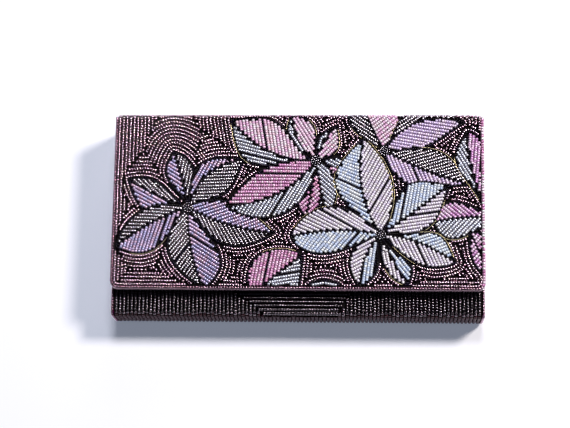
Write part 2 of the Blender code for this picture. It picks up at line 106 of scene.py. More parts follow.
def newMaterial(name):
    # A bare shader, with the place in the piece's own coordinates for its patterns
    material = bpy.data.materials.new(name)
    material.use_nodes = True
    tree = material.node_tree
    tree.nodes.clear()
    shader = addNode(tree, "BsdfPrincipled", {})
    addNode(tree, "OutputMaterial", {"Surface": shader.outputs["BSDF"]})
    return material, tree, shader, addNode(tree, "TexCoord", {}).outputs["Object"]


def colourRamp(tree, factor, colours, stepped=False):
    # Hex colours, given in one string, spread evenly over 0 to 1
    colours = colours.split()
    ramp = addNode(tree, "ValToRGB", {"Fac": factor})
    ramp.color_ramp.interpolation = "CONSTANT" if stepped else "LINEAR"
    elements = ramp.color_ramp.elements
    while len(elements) < len(colours):
        elements.new(0.5)
    for i, colour in enumerate(colours):
        elements[i].position = i / (len(colours) - (not stepped))
        elements[i].color = linear(colour)
    return ramp.outputs["Color"]


def glassBeads(name, colours, metallic, roughness, gloss):
    # Seed beads: each takes one of the lot's colours by its beadTint, with a faint mottle, and is darkened by
    # its shade attribute towards its ends, its sides and its foot, a painted shade where its neighbours and
    # the cloth shade it. Green darkens first, so the painted shade between beads is plum
    material, tree, shader, place = newMaterial(name)
    tint = addNode(tree, "Attribute", {}, attribute_name="beadTint").outputs["Fac"]
    depth = addNode(tree, "Attribute", {}, attribute_name="paintedBeadShade").outputs["Fac"]
    mottle = addNode(tree, "TexNoise", {"Vector": place, "Scale": 900.0, "Detail": 1.0}).outputs["Fac"]
    cloud = addNode(tree, "MapRange", {"Value": mottle, "From Min": 0.3, "From Max": 0.7,
                                       "To Min": 0.84, "To Max": 1.06})
    # Painted shade: the colour is darkened by the shade attribute, green the most
    dimming = addNode(tree, "VectorMath", {0: depth, 1: (-0.94, -1.12, -1.0), 2: (1, 1, 1)},
                      operation="MULTIPLY_ADD")
    kept = addNode(tree, "VectorMath", {0: dimming.outputs["Vector"]}, operation="MAXIMUM")
    colour = colourRamp(tree, tint, colours, stepped=True)
    shaded = addNode(tree, "VectorMath", {0: colour, 1: kept.outputs["Vector"]}, operation="MULTIPLY")
    mixed = addNode(tree, "VectorMath", {0: shaded.outputs["Vector"], "Scale": cloud.outputs["Result"]},
                    operation="SCALE")
    feed(tree, shader, {"Base Color": mixed.outputs["Vector"], "Metallic": metallic, "Roughness": roughness,
                        "Specular IOR Level": gloss})
    return material


def satin(name, colours, sheen, roughness=0.42, gloss=0.5):
    # Woven satin: long floats along X over a darker weft, with its colour lighter in broad cloudy bands, a
    # painted sheen, and fine lines. Its threads are drawn 0.5 mm apart, coarser than they are, so that they
    # show
    material, tree, shader, place = newMaterial(name)
    threads = addNode(tree, "TexWave", {"Vector": place, "Scale": 0.314 / (0.5 * mm), "Distortion": 1.2,
                                        "Detail": 2.0, "Detail Scale": 3.0},
                      wave_type="BANDS", bands_direction="Y").outputs["Fac"]
    cloud = addNode(tree, "TexNoise", {"Vector": place, "Scale": 60.0, "Detail": 3.0}).outputs["Fac"]
    both = addNode(tree, "Math", {0: threads, 1: 0.5, 2: cloud}, operation="MULTIPLY_ADD").outputs["Value"]
    scaled = addNode(tree, "MapRange", {"Value": both, "From Min": 0.3, "From Max": 1.2}).outputs["Result"]
    bump = addNode(tree, "Bump", {"Height": threads, "Strength": 0.35, "Distance": 0.08 * mm})
    feed(tree, shader, {"Base Color": colourRamp(tree, scaled, colours), "Normal": bump.outputs["Normal"],
                        "Roughness": roughness, "Specular IOR Level": gloss, "Sheen Weight": sheen,
                        "Sheen Roughness": 0.35})
    return material


def platedMetal(name, colour, roughness, grain):
    # Plated steel or brass: tumbled smooth, with faint handling marks that break up the gloss
    material, tree, shader, place = newMaterial(name)
    marks = addNode(tree, "TexNoise", {"Vector": place, "Scale": 1 / grain, "Detail": 5.0, "Roughness": 0.65})
    rough = addNode(tree, "MapRange", {"Value": marks.outputs["Fac"], "From Min": 0.3, "From Max": 0.7,
                                       "To Min": roughness * 0.7, "To Max": roughness * 1.5})
    bump = addNode(tree, "Bump", {"Height": marks.outputs["Fac"], "Strength": 0.12, "Distance": 0.05 * mm})
    feed(tree, shader, {"Base Color": linear(colour), "Metallic": 1.0, "Roughness": rough.outputs["Result"],
                        "Normal": bump.outputs["Normal"]})
    return material


def fibre(name, colours, fibreSize, roughness):
    # Board or wadding: matted fibres in two shades, rough and without gloss
    material, tree, shader, place = newMaterial(name)
    mat = addNode(tree, "TexNoise", {"Vector": place, "Scale": 1 / fibreSize, "Detail": 6.0, "Roughness": 0.7,
                                     "Distortion": 0.8}).outputs["Fac"]
    bump = addNode(tree, "Bump", {"Height": mat, "Strength": 0.5, "Distance": 0.2 * mm})
    feed(tree, shader, {"Base Color": colourRamp(tree, mat, colours), "Normal": bump.outputs["Normal"],
                        "Roughness": roughness})
    return material


# Lots of seed beads: the glass, its colours in the order that beadTint picks them, metallic, roughness,
# gloss, and how much painted shade a bead takes at its ends and at its sides
lotTable = dict(
    plum=("metallic_plum_glass", "#dcc0cf #e4c8d6 #d0b4c4 #e4ccd0", 1.0, 0.2, 0.5, 0.95, 0.88),
    # The plum ground beads again, darker, for the case and the hem: painted shade
    plumShade=("dark_plum_glass", "#867e84 #90878e #7a7278 #948b92", 1.0, 0.19, 0.5, 0.95, 0.8),
    # The plum ground beads again, darker still, round the bottom's turn: painted shade
    plumDeep=("deep_plum_glass", "#42282f #4a3036 #382228 #4c363a", 1.0, 0.22, 0.5, 0.75, 0.6),
    # The plum ground beads again, recoloured for the flap's edge rows: painted light and shade
    plumEdge=("wine_plum_glass", "#c6a6b6 #d4b4c4 #b492a2 #ccacb8", 1.0, 0.22, 0.5, 0.7, 0.6),
    # The plum ground beads again, pink and white along the right edge: painted light
    pinkEdge=("mixed_pink_glass", "#f4cce6 #fde8f6 #dc98c6 #ffffff #e8b0d4", 0.3, 0.2, 0.5, 0.5, 0.05),
    jet=("jet_glass", "#0a0612 #130b28 #080408 #0c0618", 0.0, 0.3, 0.25, 0.5, 0.5),
    steel=("silver_lined_glass", "#d6d0d6 #ddd8dd #ccc6ce #e6e2e7", 1.0, 0.27, 0.5, 0.42, 0.97),
    silver=("white_lined_glass", "#e8eefb #f0f4ff #dfe6f4 #f6f9ff", 0.6, 0.26, 0.5, 0.2, 0.85),
    ice=("ice_blue_pearl_glass", "#dfecff #ecf5ff #d3e3ff #f5fbff", 0.1, 0.22, 0.9, 0.15, 0.34),
    blush=("blush_pearl_glass", "#f9f3ff #fcf8ff #f3ebff #fefcff", 0.15, 0.22, 0.9, 0.2, 0.66),
    rose=("rose_pearl_glass", "#fddcf4 #ffe6fa #f7c8ec #fff2fc #f9d6e6", 0.1, 0.24, 0.5, 0.25, 0.5),
    pink=("pink_lined_glass", "#eeb4dc #f6c8e8 #e4a2d2 #fcdaf0 #e8a8ca", 0.2, 0.24, 0.5, 0.25, 0.58),
    lilac=("lilac_lustre_glass", "#dccaf2 #cac6f0 #e4d0f4 #eccce6 #d2cef8", 0.55, 0.24, 0.5, 0.3, 0.65),
    orchid=("orchid_lustre_glass", "#f2dafc #e6d2fa #f8e4fd #ecdcff", 0.2, 0.24, 0.5, 0.3, 0.5),
    magenta=("magenta_lustre_glass", "#f0c0ee #f9d6f6 #e0a6de #fce6fb #e6b2de", 0.25, 0.24, 0.5, 0.3, 0.5),
    gunmetal=("gunmetal_glass", "#b4b0b8 #c2bec6 #a29ea8", 1.0, 0.2, 0.5, 0.7, 0.8),
)
lots = {lot: glassBeads(*row[:5]) for lot, row in lotTable.items()}
gilt = platedMetal("gilt_cord", "#cfc094", 0.3, 0.6 * mm)
groundSatin = satin("black_plum_satin", "#070304 #12070c", 0.0, 0.8, 0.15)
liningSatin = satin("aubergine_satin", "#3c2036 #5a3350", 0.5)
bindingSatin = satin("aubergine_binding", "#321a2c #4a2a42", 0.4)
plainMaterials = (
    (fibre("grey_board", "#6f6c68 #a09c95", 1.2 * mm, 0.9),
     "back_board front_board bottom_board spine_board flap_board"),
    (fibre("cotton_wadding", "#d9d5cc #f3f0e8", 2.0 * mm, 1.0), "front_wadding flap_wadding"),
    (platedMetal("nickel_plate", "#c9c8c6", 0.22, 1.5 * mm),
     "snap_socket_cap snap_socket_plate snap_socket_washer snap_stud snap_stud_washer"),
    (platedMetal("magnet_plate", "#8e8e90", 0.4, 0.8 * mm), "snap_magnet"),
)
for material, nodes in plainMaterials:
    for node in nodes.split():
        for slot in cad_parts[node].material_slots:
            slot.material = material
print("materials made")


def addObject(name, data):
    thing = bpy.data.objects.new(name, data)
    bpy.context.collection.objects.link(thing)
    return thing


def dress(piece, on, node=None, slot="beaded_satin", **soft):
    # What the piece rides on, or, for a piece at a fold, the bodies and points that it lies across, which
    # change nothing, so that it stays where it is; the solid that it stands for; and, for a sheet, its flat
    # size, which is not used
    if isinstance(on, str):
        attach(piece, on)
    else:
        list(on)
        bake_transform(piece)
    if node:
        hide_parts(node)


def surfaceMesh(name, points, faces, material):
    # Points and faces to an object at the origin, without doubles and with outward normals
    mesh = bpy.data.meshes.new(name)
    mesh.from_pydata([tuple(p) for p in points], [], [tuple(int(i) for i in f) for f in faces])
    shape = bmesh.new()
    shape.from_mesh(mesh)
    bmesh.ops.remove_doubles(shape, verts=shape.verts, dist=1e-6)
    bmesh.ops.dissolve_degenerate(shape, edges=shape.edges, dist=1e-7)
    bmesh.ops.recalc_face_normals(shape, faces=shape.faces)
    shape.to_mesh(mesh)
    shape.free()
    mesh.shade_smooth()
    mesh.materials.append(material)
    return addObject(name, mesh)


def loopFaces(rows, columns, first=0):
    # The faces of a tube of closed loops, which lie one after the other, with a face over each end
    index = first + np.arange(rows * columns).reshape(rows, columns)
    after = np.roll(index, -1, axis=1)
    quads = np.stack([index[:-1], after[:-1], after[1:], index[1:]], -1).reshape(-1, 4)
    return [*quads, index[0][::-1], index[-1]]


def closedShell(name, grids, material):
    # Two grids of points, rows by columns, joined round their rims into one thin closed sheet
    rows, columns = grids[0].shape[:2]
    index = np.arange(rows * columns).reshape(rows, columns)
    quads = np.stack([index[:-1, :-1], index[1:, :-1], index[1:, 1:], index[:-1, 1:]], -1).reshape(-1, 4)
    ring = np.concatenate([index[0, :-1], index[:-1, -1], index[-1, :0:-1], index[:0:-1, 0]])
    after = np.roll(ring, -1)
    rim = np.stack([ring, after, after + index.size, ring + index.size], -1)
    points = np.concatenate([grid.reshape(-1, 3) for grid in grids])
    return surfaceMesh(name, points, np.concatenate([quads, quads[:, ::-1] + index.size, rim]), material)


# Levels that the CAD boxes give, all at rest
caseBox, flapBox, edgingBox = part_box("body_cover"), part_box("flap_cover"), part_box("flap_edging")
spineBox, topFoldBox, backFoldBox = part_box("spine_cover"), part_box("top_fold"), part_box("back_fold")
body = dict(
    half=caseBox[1][0], bottom=caseBox[0][1], front=caseBox[1][2], mouth=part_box("gusset_left")[1][1],
    bottomRadius=4.5 * mm, top=spineBox[1][1], foldLine=topFoldBox[0][1], foldLevel=topFoldBox[0][2],
    backFoldLevel=backFoldBox[1][2], flapTop=edgingBox[1][2], flapUnder=edgingBox[0][2], hem=edgingBox[0][1],
    panelHalf=flapBox[1][0], hemRadius=5 * mm, clothDepth=2.0 * mm, cornerRadius=4.2 * mm,
)
foldDepth = body["flapTop"] - body["foldLevel"]
beadDepth = beadSize["width"] / 2


def skinRoute(depth):
    # The one long strip of skin in section, at a depth below its outer face: straight runs between two
    # points and turns with a centre and a radius, each with its outward angle. On the flap, s is simply y
    b = body
    turn, low, high = b["bottom"] + b["bottomRadius"], b["bottomRadius"], b["front"] - b["bottomRadius"]
    fold, radius = foldDepth - depth, b["bottomRadius"] - depth
    runs = dict(
        flap=((b["hem"] - 5 * mm, b["flapTop"] - depth), (b["foldLine"], b["flapTop"] - depth), 90),
        topFold=((b["foldLine"], b["foldLevel"]), fold, 90),
        spine=((b["top"] - depth, b["foldLevel"]), (b["top"] - depth, b["backFoldLevel"]), 0),
        backFold=((b["foldLine"], b["backFoldLevel"]), fold, 0),
        back=((b["foldLine"], depth), (turn, depth), -90),
        backTurn=((turn, low), radius, -90),
        bottom=((b["bottom"] + depth, low), (b["bottom"] + depth, high), -180),
        frontTurn=((turn, high), radius, -180),
        front=((turn, b["front"] - depth), (b["mouth"], b["front"] - depth), -270),
    )
    places, angles, starts = [], [], {}
    for name, (first, second, angle) in runs.items():
        starts[name] = len(angles)
        if isinstance(second, tuple):
            places += [first, second]
            angles += [angle, angle]
        else:
            turned = np.linspace(angle, angle - 90, 19)
            places += [(first[0] + second * math.cos(a), first[1] + second * math.sin(a))
                       for a in np.radians(turned)]
            angles += list(turned)
    ys, zs = np.array(places).T
    s = np.concatenate([[0], np.cumsum(np.hypot(np.diff(ys), np.diff(zs)))]) + b["hem"] - 5 * mm
    s = s + np.arange(len(s)) * 1e-9
    starts = {name: s[i] for name, i in starts.items()} | {"end": s[-1]}
    return dict(s=s, y=ys, z=zs, angle=np.array(angles, float), starts=starts)


def onSkin(route, x, s, lift=0.0):
    # Place, outward normal and the direction of growing s, at x across the clutch and s along the strip
    y, z = np.interp(s, route["s"], route["y"]), np.interp(s, route["s"], route["z"])
    angle = np.radians(np.interp(s, route["s"], route["angle"]))
    zero = np.zeros_like(angle)
    normal = np.stack([zero, np.cos(angle), np.sin(angle)], -1)
    along = np.stack([zero, np.sin(angle), -np.cos(angle)], -1)
    return np.stack([x, y, z], -1) + normal * np.asarray(lift)[..., None], normal, along


def cornerPull(x):
    # The spine's two ends are drawn in a little, as arcs
    radius = body["cornerRadius"]
    past = np.clip(np.abs(x) - (body["half"] - radius), 0, radius)
    return radius - np.sqrt(radius ** 2 - past ** 2)


beadRoute = skinRoute(beadDepth)
marks = beadRoute["starts"]


def strung(x, s, heading, lot, tint=None, lift=0.0, size=1.0, stretch=1.0):
    # Beads on the skin strip, heading in degrees from the clutch's width towards growing s
    place, normal, along = onSkin(beadRoute, x, s, lift)
    place[:, 1] -= cornerPull(x) * np.clip(normal[:, 1], 0, 1)
    turn = np.radians(heading + rng.normal(0, 2.5, x.shape))
    axis = np.cos(turn)[:, None] * np.array([1.0, 0, 0]) + np.sin(turn)[:, None] * along
    return dict(place=place, normal=normal, axis=axis, s=s, lot=np.full(len(x), lot),
                tint=rng.random(len(x)) if tint is None else tint, size=np.full(len(x), size),
                stretch=np.ones(len(x)) * stretch)


def joinBeads(groups):
    return {key: np.concatenate([group[key] for group in groups]) for key in groups[0]}


def pick(beads, keep):
    return {key: values[keep] for key, values in beads.items()}


def beadProfile(shape):
    # Four rings along the hole, the middle two at full width, the end ones drawn in
    along = np.array([-0.5, -shape["shoulder"], shape["shoulder"], 0.5]) * beadSize["length"]
    reach = np.array([shape["endWidth"], 1, 1, shape["endWidth"]]) * beadSize["width"] / 2
    spin = np.arange(beadSize["sides"]) * 2 * np.pi / beadSize["sides"]
    return np.stack([np.repeat(along, len(spin)), np.outer(reach, np.cos(spin)).ravel(),
                     np.outer(reach, np.sin(spin)).ravel()], -1)


def beadPiece(name, beads, on):
    # Every bead is turned so that its hole runs along the row; all go into one mesh
    n = beadSize["sides"]
    faces = loopFaces(4, n)
    isRound = np.isin(beads["lot"], roundLots)[:, None, None]
    ring = np.where(isRound, beadProfile(beadShapes["round"]), beadProfile(beadShapes["barrel"]))
    count, corners = ring.shape[:2]
    side = np.cross(beads["normal"], beads["axis"])
    scale = (beads["size"] * rng.normal(1, 0.02, count))[:, None, None]
    stretch = (beads["stretch"] * rng.normal(1, 0.03, count))[:, None, None]
    points = (beads["place"][:, None] + scale * (
        stretch * ring[:, :, :1] * beads["axis"][:, None]
        + ring[:, :, 1:2] * side[:, None] + ring[:, :, 2:] * beads["normal"][:, None]))
    loops = np.arange(count)[:, None] * corners + np.concatenate(faces)
    sizes = np.tile([len(face) for face in faces], count)
    mesh = bpy.data.meshes.new(name)
    mesh.vertices.add(count * corners)
    mesh.vertices.foreach_set("co", points.ravel())
    mesh.loops.add(loops.size)
    mesh.loops.foreach_set("vertex_index", loops.ravel())
    mesh.polygons.add(len(sizes))
    mesh.polygons.foreach_set("loop_start", np.concatenate([[0], np.cumsum(sizes)[:-1]]))
    present, which = np.unique(beads["lot"], return_inverse=True)
    mesh.polygons.foreach_set("material_index", np.repeat(which, len(faces)))
    for lot in present:
        mesh.materials.append(lots[lot])
    mesh.update()
    mesh.shade_smooth()
    # Painted shade on the middle rings: 0 at the top, rising as (1 - sine) ** 1.5 to 1 at the sides and
    # below; the end rings take at least the lot's painted shade for the ends
    foot = (1 - np.maximum(np.sin(np.arange(n) * 2 * np.pi / n), 0)) ** 1.5
    paintedShadeAtEnds, paintedShadeAtSides = np.array([lotTable[lot][5:] for lot in beads["lot"]]).T[:, :, None]
    middle = paintedShadeAtSides * foot
    end = np.maximum(middle, paintedShadeAtEnds)
    shade = np.concatenate([end, middle, middle, end], 1)
    for attribute, values in (("beadTint", np.repeat(beads["tint"], corners)), ("paintedBeadShade", shade.ravel())):
        mesh.attributes.new(attribute, "FLOAT", "POINT").data.foreach_set("value", values)
    mesh.validate()
    dress(addObject(name, mesh), on)


def beadPieces(name, beads, bodyName):
    # Split from left to right where one piece would hold too many beads
    parts = max(1, math.ceil(len(beads["lot"]) / pieceLimit))
    order = np.argsort(beads["place"][:, 0], kind="stable")
    for i, share in enumerate(np.array_split(order, parts)):
        beadPiece(name + ("" if parts == 1 else str(i + 1)), pick(beads, np.sort(share)), bodyName)


def fillLine(inside, start, end, pitch):
    # Beads along a straight line, spread over each stretch where inside(x, s) holds: x, s and how far each
    # bead is drawn out to close up with the next
    length = math.dist(start, end)
    count = max(2, int(length / (0.2 * mm)))
    xs, ys = (start[k] + (end[k] - start[k]) * np.linspace(0, 1, count) for k in (0, 1))
    held = np.concatenate([[False], inside(xs, ys), [False]])
    edges = np.flatnonzero(held[1:] != held[:-1])
    found, drawn = [], []
    for a, b in zip(edges[::2], edges[1::2] - 1):
        run = (b - a) * length / (count - 1)
        beads = int(run / pitch + 0.45) + 1
        gap = min(run / (beads - 1), pitch * 1.22) if beads > 1 else pitch
        middle = (a + b) / 2 / (count - 1) * length
        for k in range(beads):
            found.append((middle + (k - (beads - 1) / 2) * gap) / length)
            drawn.append(gap / pitch)
    found = np.array(found)
    return start[0] + (end[0] - start[0]) * found, start[1] + (end[1] - start[1]) * found, np.array(drawn)


def leaf(tip, bow, left, right, veins=()):
    return dict(tip=tip, bow=bow, left=left, right=right, veins=veins)


def half(width, widest, fullness, lot, atBase, atTip):
    # One side of a leaf: half width, where it is widest, how blunt, its beads, and its rows' headings
    return dict(width=width, widest=widest, fullness=fullness, lot=lot, rows=(atBase, atTip))


# Leaf sprays in the order they lie, the last on top. Millimetres from the clutch's middle, headings in
# degrees. A vein is a dark row through the point given
sprays = [
    dict(name="left", centre=(-63.2, 3.0), leaves=[
        leaf((-72.5, 35.5), -0.5, half(7.5, 0.63, 1.0, "lilac", -50, -20),
             half(8, 0.61, 0.8, "steel", 88, 75)),
        leaf((-31, 31.5), 7.4, half(7, 0.51, 1.2, "lilac", 70, 55), half(15, 0.51, 1.2, "steel", 0, 6)),
        leaf((-98, 19.5), 2.0, half(10.5, 0.51, 1.0, "lilac", 0, -45),
             half(7.5, 0.62, 1.1, "steel", -52, -38)),
        leaf((-104, -20), -2.1, half(14, 0.62, 0.8, "lilac", 65, 80), half(9, 0.51, 0.8, "steel", -17, 12),
             veins=[(-78, -11.5)]),
        leaf((-53.5, -44), -2.7, half(15, 0.66, 0.7, "lilac", -30, -34), half(13, 0.45, 0.9, "steel", 40, 68),
             veins=[(-66.5, -24.5), (-54, -18)]),
        leaf((-13.5, -12), -3.0, half(13, 0.45, 1.0, "lilac", 14, 26),
             half(11.5, 0.53, 0.9, "steel", -74, -46)),
    ]),
    dict(name="topRight", centre=(49.9, 37.0), leaves=[
        leaf((36.5, 69), 1.6, half(11, 0.66, 0.6, "steel", -30, -38), half(17.5, 0.53, 1.0, "rose", 42, 36)),
        leaf((95, 53.5), 9.7, half(12, 0.6, 1.1, "steel", 40, 30), half(15.5, 0.47, 1.0, "orchid", -15, -4)),
        leaf((99, 17), -2.3, half(13.5, 0.53, 1.1, "steel", 17, 16), half(11, 0.35, 1.2, "orchid", -70, -62),
             veins=[(68, 22)]),
    ]),
    dict(name="rightEdge", centre=(108.5, -0.9), leaves=[
        leaf((97, 48), 2.6, half(8, 0.7, 1.2, "silver", -58, -60), half(12, 0.55, 0.6, "magenta", 85, 85)),
    ]),
    dict(name="rightEdgeMiddle", centre=(115.8, -3.2), leaves=[
        leaf((78, -5), -1.9, half(12, 0.69, 0.6, "silver", 48, 46),
             half(9.5, 0.73, 0.6, "magenta", -40, -40)),
    ]),
    dict(name="rightEdgeLow", centre=(110.7, -40), leaves=[
        leaf((98.5, -11.5), 0, half(5, 0.5, 0.8, "magenta", 50, 50), half(14, 0.4, 0.6, "magenta", 50, 50)),
    ]),
    dict(name="pink", centre=(10.1, 30.8), leaves=[
        leaf((-4, 58), 3.6, half(4.5, 0.65, 0.8, "silver", -50, -60),
             half(11.5, 0.59, 0.9, "rose", -70, -48)),
        leaf((22, 51.5), 1.8, half(3.3, 0.53, 1.2, "silver", 75, 75), half(9, 0.49, 1.1, "rose", 45, 45)),
        leaf((27.5, 23.5), 0.6, half(6, 0.63, 1.2, "silver", -28, -28), half(6, 0.59, 0.8, "pink", -30, -30)),
        leaf((16.5, 0.5), -0.9, half(9.5, 0.51, 0.6, "silver", -42, -42),
             half(3, 0.6, 0.6, "silver", -42, -42)),
        leaf((5, -1.5), 0.3, half(6, 0.7, 0.6, "pink", 52, 42), half(7, 0.63, 0.6, "pink", 50, 42)),
        leaf((-39.5, 55.5), 7.1, half(11.5, 0.65, 1.15, "silver", 8, -28),
             half(17, 0.57, 1.2, "rose", -80, -80),
             veins=[(-20, 47.5), (-25, 33.7)]),
        leaf((-41.5, 4), 7.3, half(12, 0.51, 0.6, "silver", 64, 54), half(16.5, 0.49, 0.9, "pink", -8, 8),
             veins=[(-10.5, 23.2), (-13.4, 1.9)]),
    ]),
    dict(name="hem", centre=(-25.5, -49), leaves=[
        leaf((2.5, -25), 0.9, half(15, 0.47, 0.6, "pink", 82, 76), half(19.5, 0.31, 0.9, "silver", 0, 16),
             veins=[(-17.3, -31.6), (-6.7, -35.6)]),
    ]),
    dict(name="hemSmall", centre=(15.5, -52), leaves=[
        leaf((15.5, -39.3), 0, half(10, 0.6, 0.55, "silver", 10, 10),
             half(10, 0.6, 0.55, "silver", -10, -10)),
    ]),
    dict(name="white", centre=(47.5, -12.4), leaves=[
        leaf((36, -43), -3.4, half(8, 0.6, 1.0, "ice", 85, 80), half(8, 0.53, 0.7, "blush", 33, 25),
             veins=[(45, -24.2)]),
        leaf((63, -41.5), -0.9, half(7, 0.7, 1.2, "ice", -50, -52), half(6, 0.61, 0.7, "blush", -78, -78)),
        leaf((89.5, -28.5), 3.3, half(8.5, 0.68, 1.2, "ice", 8, 24), half(11.5, 0.57, 0.8, "blush", -56, -72),
             veins=[(70, -22.8)]),
        leaf((86.5, 17), -0.8, half(14.5, 0.59, 1.2, "ice", 72, 86), half(12, 0.5, 1.2, "blush", 10, 7),
             veins=[(60.2, 4.2), (74.6, 0.2)]),
        leaf((-3.5, -14), -2.9, half(13, 0.62, 0.65, "ice", 42, 58), half(14, 0.57, 0.6, "blush", -52, -8),
             veins=[(20, -1.9), (30.5, -16.2)]),
        leaf((37.5, 44), 6.3, half(14.5, 0.6, 1.0, "ice", -45, -8), half(18, 0.49, 0.85, "blush", 56, 66),
             veins=[(29.5, 17.2), (47.3, 11.7)]),
    ]),
]


def bulge(share, widest, fullness):
    # Half width of a leaf along its length: a sine that is skewed to be widest at the wanted share
    skew = math.log(0.5) / math.log(widest)
    return np.sin(np.pi * np.clip(share, 0, 1) ** skew) ** fullness


def leafCurves(centre, shape, samples=72):
    # Midrib and both edges: the midrib is a parabola off the chord, the edges stand off it at right angles
    base, tip = np.array(centre) * mm, np.array(shape["tip"]) * mm
    length = np.linalg.norm(tip - base)
    forward = (tip - base) / length
    leftward = np.array([-forward[1], forward[0]])
    share = np.linspace(0, 1, samples)
    chord = base + share[:, None] * (tip - base)
    bow = (shape["bow"] * mm * 4 * share * (1 - share))[:, None] * leftward
    curves = {"midrib": chord + bow}
    for sideName, sign in (("left", 1), ("right", -1)):
        side = shape[sideName]
        reach = side["width"] * mm * bulge(share, side["widest"], side["fullness"])
        curves[sideName] = chord + bow + sign * reach[:, None] * leftward
    return curves


def spaced(values, travelled, at):
    return np.stack([np.interp(at, travelled, column) for column in values.T], -1)


def evenly(curve, pitch, offset=0.0):
    # Points and headings at an even pitch along a curve, from an offset at each end
    travelled = np.concatenate([[0], np.cumsum(np.hypot(*np.diff(curve, axis=0).T))])
    total = travelled[-1]
    count = max(1, int(round((total - 2 * offset) / pitch)))
    at = np.linspace(offset, total - offset, count + 1) if total > 2 * offset else np.array([total / 2])
    way = spaced(curve, travelled, at + pitch / 3) - spaced(curve, travelled, at - pitch / 3)
    return spaced(curve, travelled, at), np.degrees(np.arctan2(way[:, 1], way[:, 0]))


def insidePolygon(points, polygon):
    # Even-odd rule, for all the points at once
    x, y = points[:, 0], points[:, 1]
    within = np.zeros(len(points), bool)
    before = np.roll(polygon, 1, axis=0)
    for (x1, y1), (x2, y2) in zip(polygon, before):
        crosses = (y1 > y) != (y2 > y)
        if crosses.any():
            within ^= crosses & (x < (x2 - x1) * (y - y1) / (y2 - y1 + 1e-15) + x1)
    return within


def farFrom(points, curve):
    # Distance from each point to the nearest point of a densely sampled curve
    best = np.full(len(points), np.inf)
    for start in range(0, len(curve), 64):
        part = curve[start:start + 64]
        gap = np.hypot(points[:, None, 0] - part[None, :, 0], points[:, None, 1] - part[None, :, 1])
        best = np.minimum(best, gap.min(1))
    return best


def edgeDistance(x, s):
    # Distance in from the row of edging beads, which turns both lower corners in an arc
    radius = body["hemRadius"] - beadDepth
    half, low = body["half"] - beadDepth, body["hem"] + beadDepth
    across, above = half - np.abs(x), s - low
    corner = radius - np.hypot(np.maximum(radius - across, 0), np.maximum(radius - above, 0))
    return np.where((across < radius) & (above < radius), corner, np.minimum(across, above))


allLeaves = []
for spray in sprays:
    for shape in spray["leaves"]:
        curves = leafCurves(spray["centre"], shape)
        outline = np.concatenate([curves["left"], curves["right"][::-1]])
        allLeaves.append(dict(shape=shape, curves=curves, outline=outline, spray=spray))
print("leaves laid out:", len(allLeaves))

# Leaf rows are of a smaller bead than the ground, by size
art = dict(
    size=0.85, centreBead=0.62, outlineBead=0.56, rowPitch=1.88 * mm, beadPitch=1.36 * mm, tooClose=0.93 * mm,
    margin=0.95 * mm, veinRoom=1.42 * mm, gap=1.28 * mm, leafLift=0.20 * mm, fineStep=0.25 * mm,
)
ground = dict(
    size=0.96, rowPitch=2.10 * mm, beadPitch=1.53 * mm, tooClose=1.05 * mm, firstRow=1.62 * mm, gap=1.70 * mm,
    shortest=2.6 * mm, alongFree=1.25 * mm, asideFree=1.60 * mm, fromRow=2.02 * mm, fromOutline=1.62 * mm,
    rounds=14, narrow=4.4 * mm, bay=1.45 * mm, step=0.5 * mm,
)
crowdSquare = 2 * mm
placed = []


def searchTree(points):
    found = KDTree(len(points))
    for i, spot in enumerate(points):
        found.insert((*spot, 0), i)
    found.balance()
    return found


class Crowd:
    # Remembers where beads lie, in squares wider than any spacing, and says whether a new one has room
    def __init__(self):
        self.squares = {}

    def hasRoom(self, x, s, spacing, heading=0, beside=None):
        # A circle of the spacing is free, or a box that is turned to the heading, of the spacing along it and
        # another aside from it
        i, j = int(x // crowdSquare), int(s // crowdSquare)
        c, n = math.cos(math.radians(heading)), math.sin(math.radians(heading))
        near = [(k, m) for k in (i - 1, i, i + 1) for m in (j - 1, j, j + 1)]
        for a, b in [spot for square in near for spot in self.squares.get(square, ())]:
            along, aside = (a - x) * c + (b - s) * n, (b - s) * c - (a - x) * n
            if abs(along) < spacing and abs(aside) < beside if beside else math.hypot(along, aside) < spacing:
                return False
        return True

    def admit(self, x, s, *room):
        free = self.hasRoom(x, s, *room)
        if free:
            self.squares.setdefault((int(x // crowdSquare), int(s // crowdSquare)), []).append((x, s))
        return free

    def all(self):
        return np.array([spot for square in self.squares.values() for spot in square])


crowd = Crowd()


def lay(points, headings, lot, tint=None, lift=0.0, size=1.0, spacing=art["tooClose"], stretch=None):
    keep = np.array([crowd.admit(x, s, spacing) for x, s in points], bool)
    if keep.any():
        tints = None if tint is None else tint[keep]
        drawn = 1.0 if stretch is None else stretch[keep]
        turned = np.broadcast_to(headings, len(points))[keep]
        placed.append(strung(*points[keep].T, turned, lot, tints, lift, size, drawn))


def uncovered(points, above, margin=0.0):
    # True where no leaf that lies above covers the point, or comes nearer to it than the margin
    clear = edgeDistance(points[:, 0], points[:, 1]) > 1.9 * mm
    for other in above:
        low, high = other["outline"].min(0) - margin, other["outline"].max(0) + margin
        near = clear & (points > low).all(1) & (points < high).all(1)
        if near.any():
            hidden = insidePolygon(points[near], other["outline"])
            if margin:
                hidden |= farFrom(points[near], other["outline"]) < margin
            clear[np.flatnonzero(near)[hidden]] = False
    return clear


for spray in sprays:
    centre = np.array(spray["centre"]) * mm
    if abs(centre[0]) < 100 * mm and spray["name"] not in ("hem", "hemSmall"):
        spots = [(0.0, 0.0)] + [(r * math.cos(a), r * math.sin(a)) for r, n in ((1.3, 6), (2.6, 12))
                                for a in np.arange(n) * 2 * math.pi / n + 0.3]
        points = centre + np.array(spots) * mm
        lay(points, rng.uniform(0, 180, len(points)), "gunmetal", size=art["centreBead"])

for i in range(len(allLeaves) - 1, -1, -1):
    item = allLeaves[i]
    above = allLeaves[i + 1:]
    for key in ("left", "right", "midrib"):
        points, headings = evenly(item["curves"][key], art["beadPitch"])
        keep = uncovered(points, above)
        lay(points[keep], headings[keep], "jet", size=art["outlineBead"])
print("outlines strung")


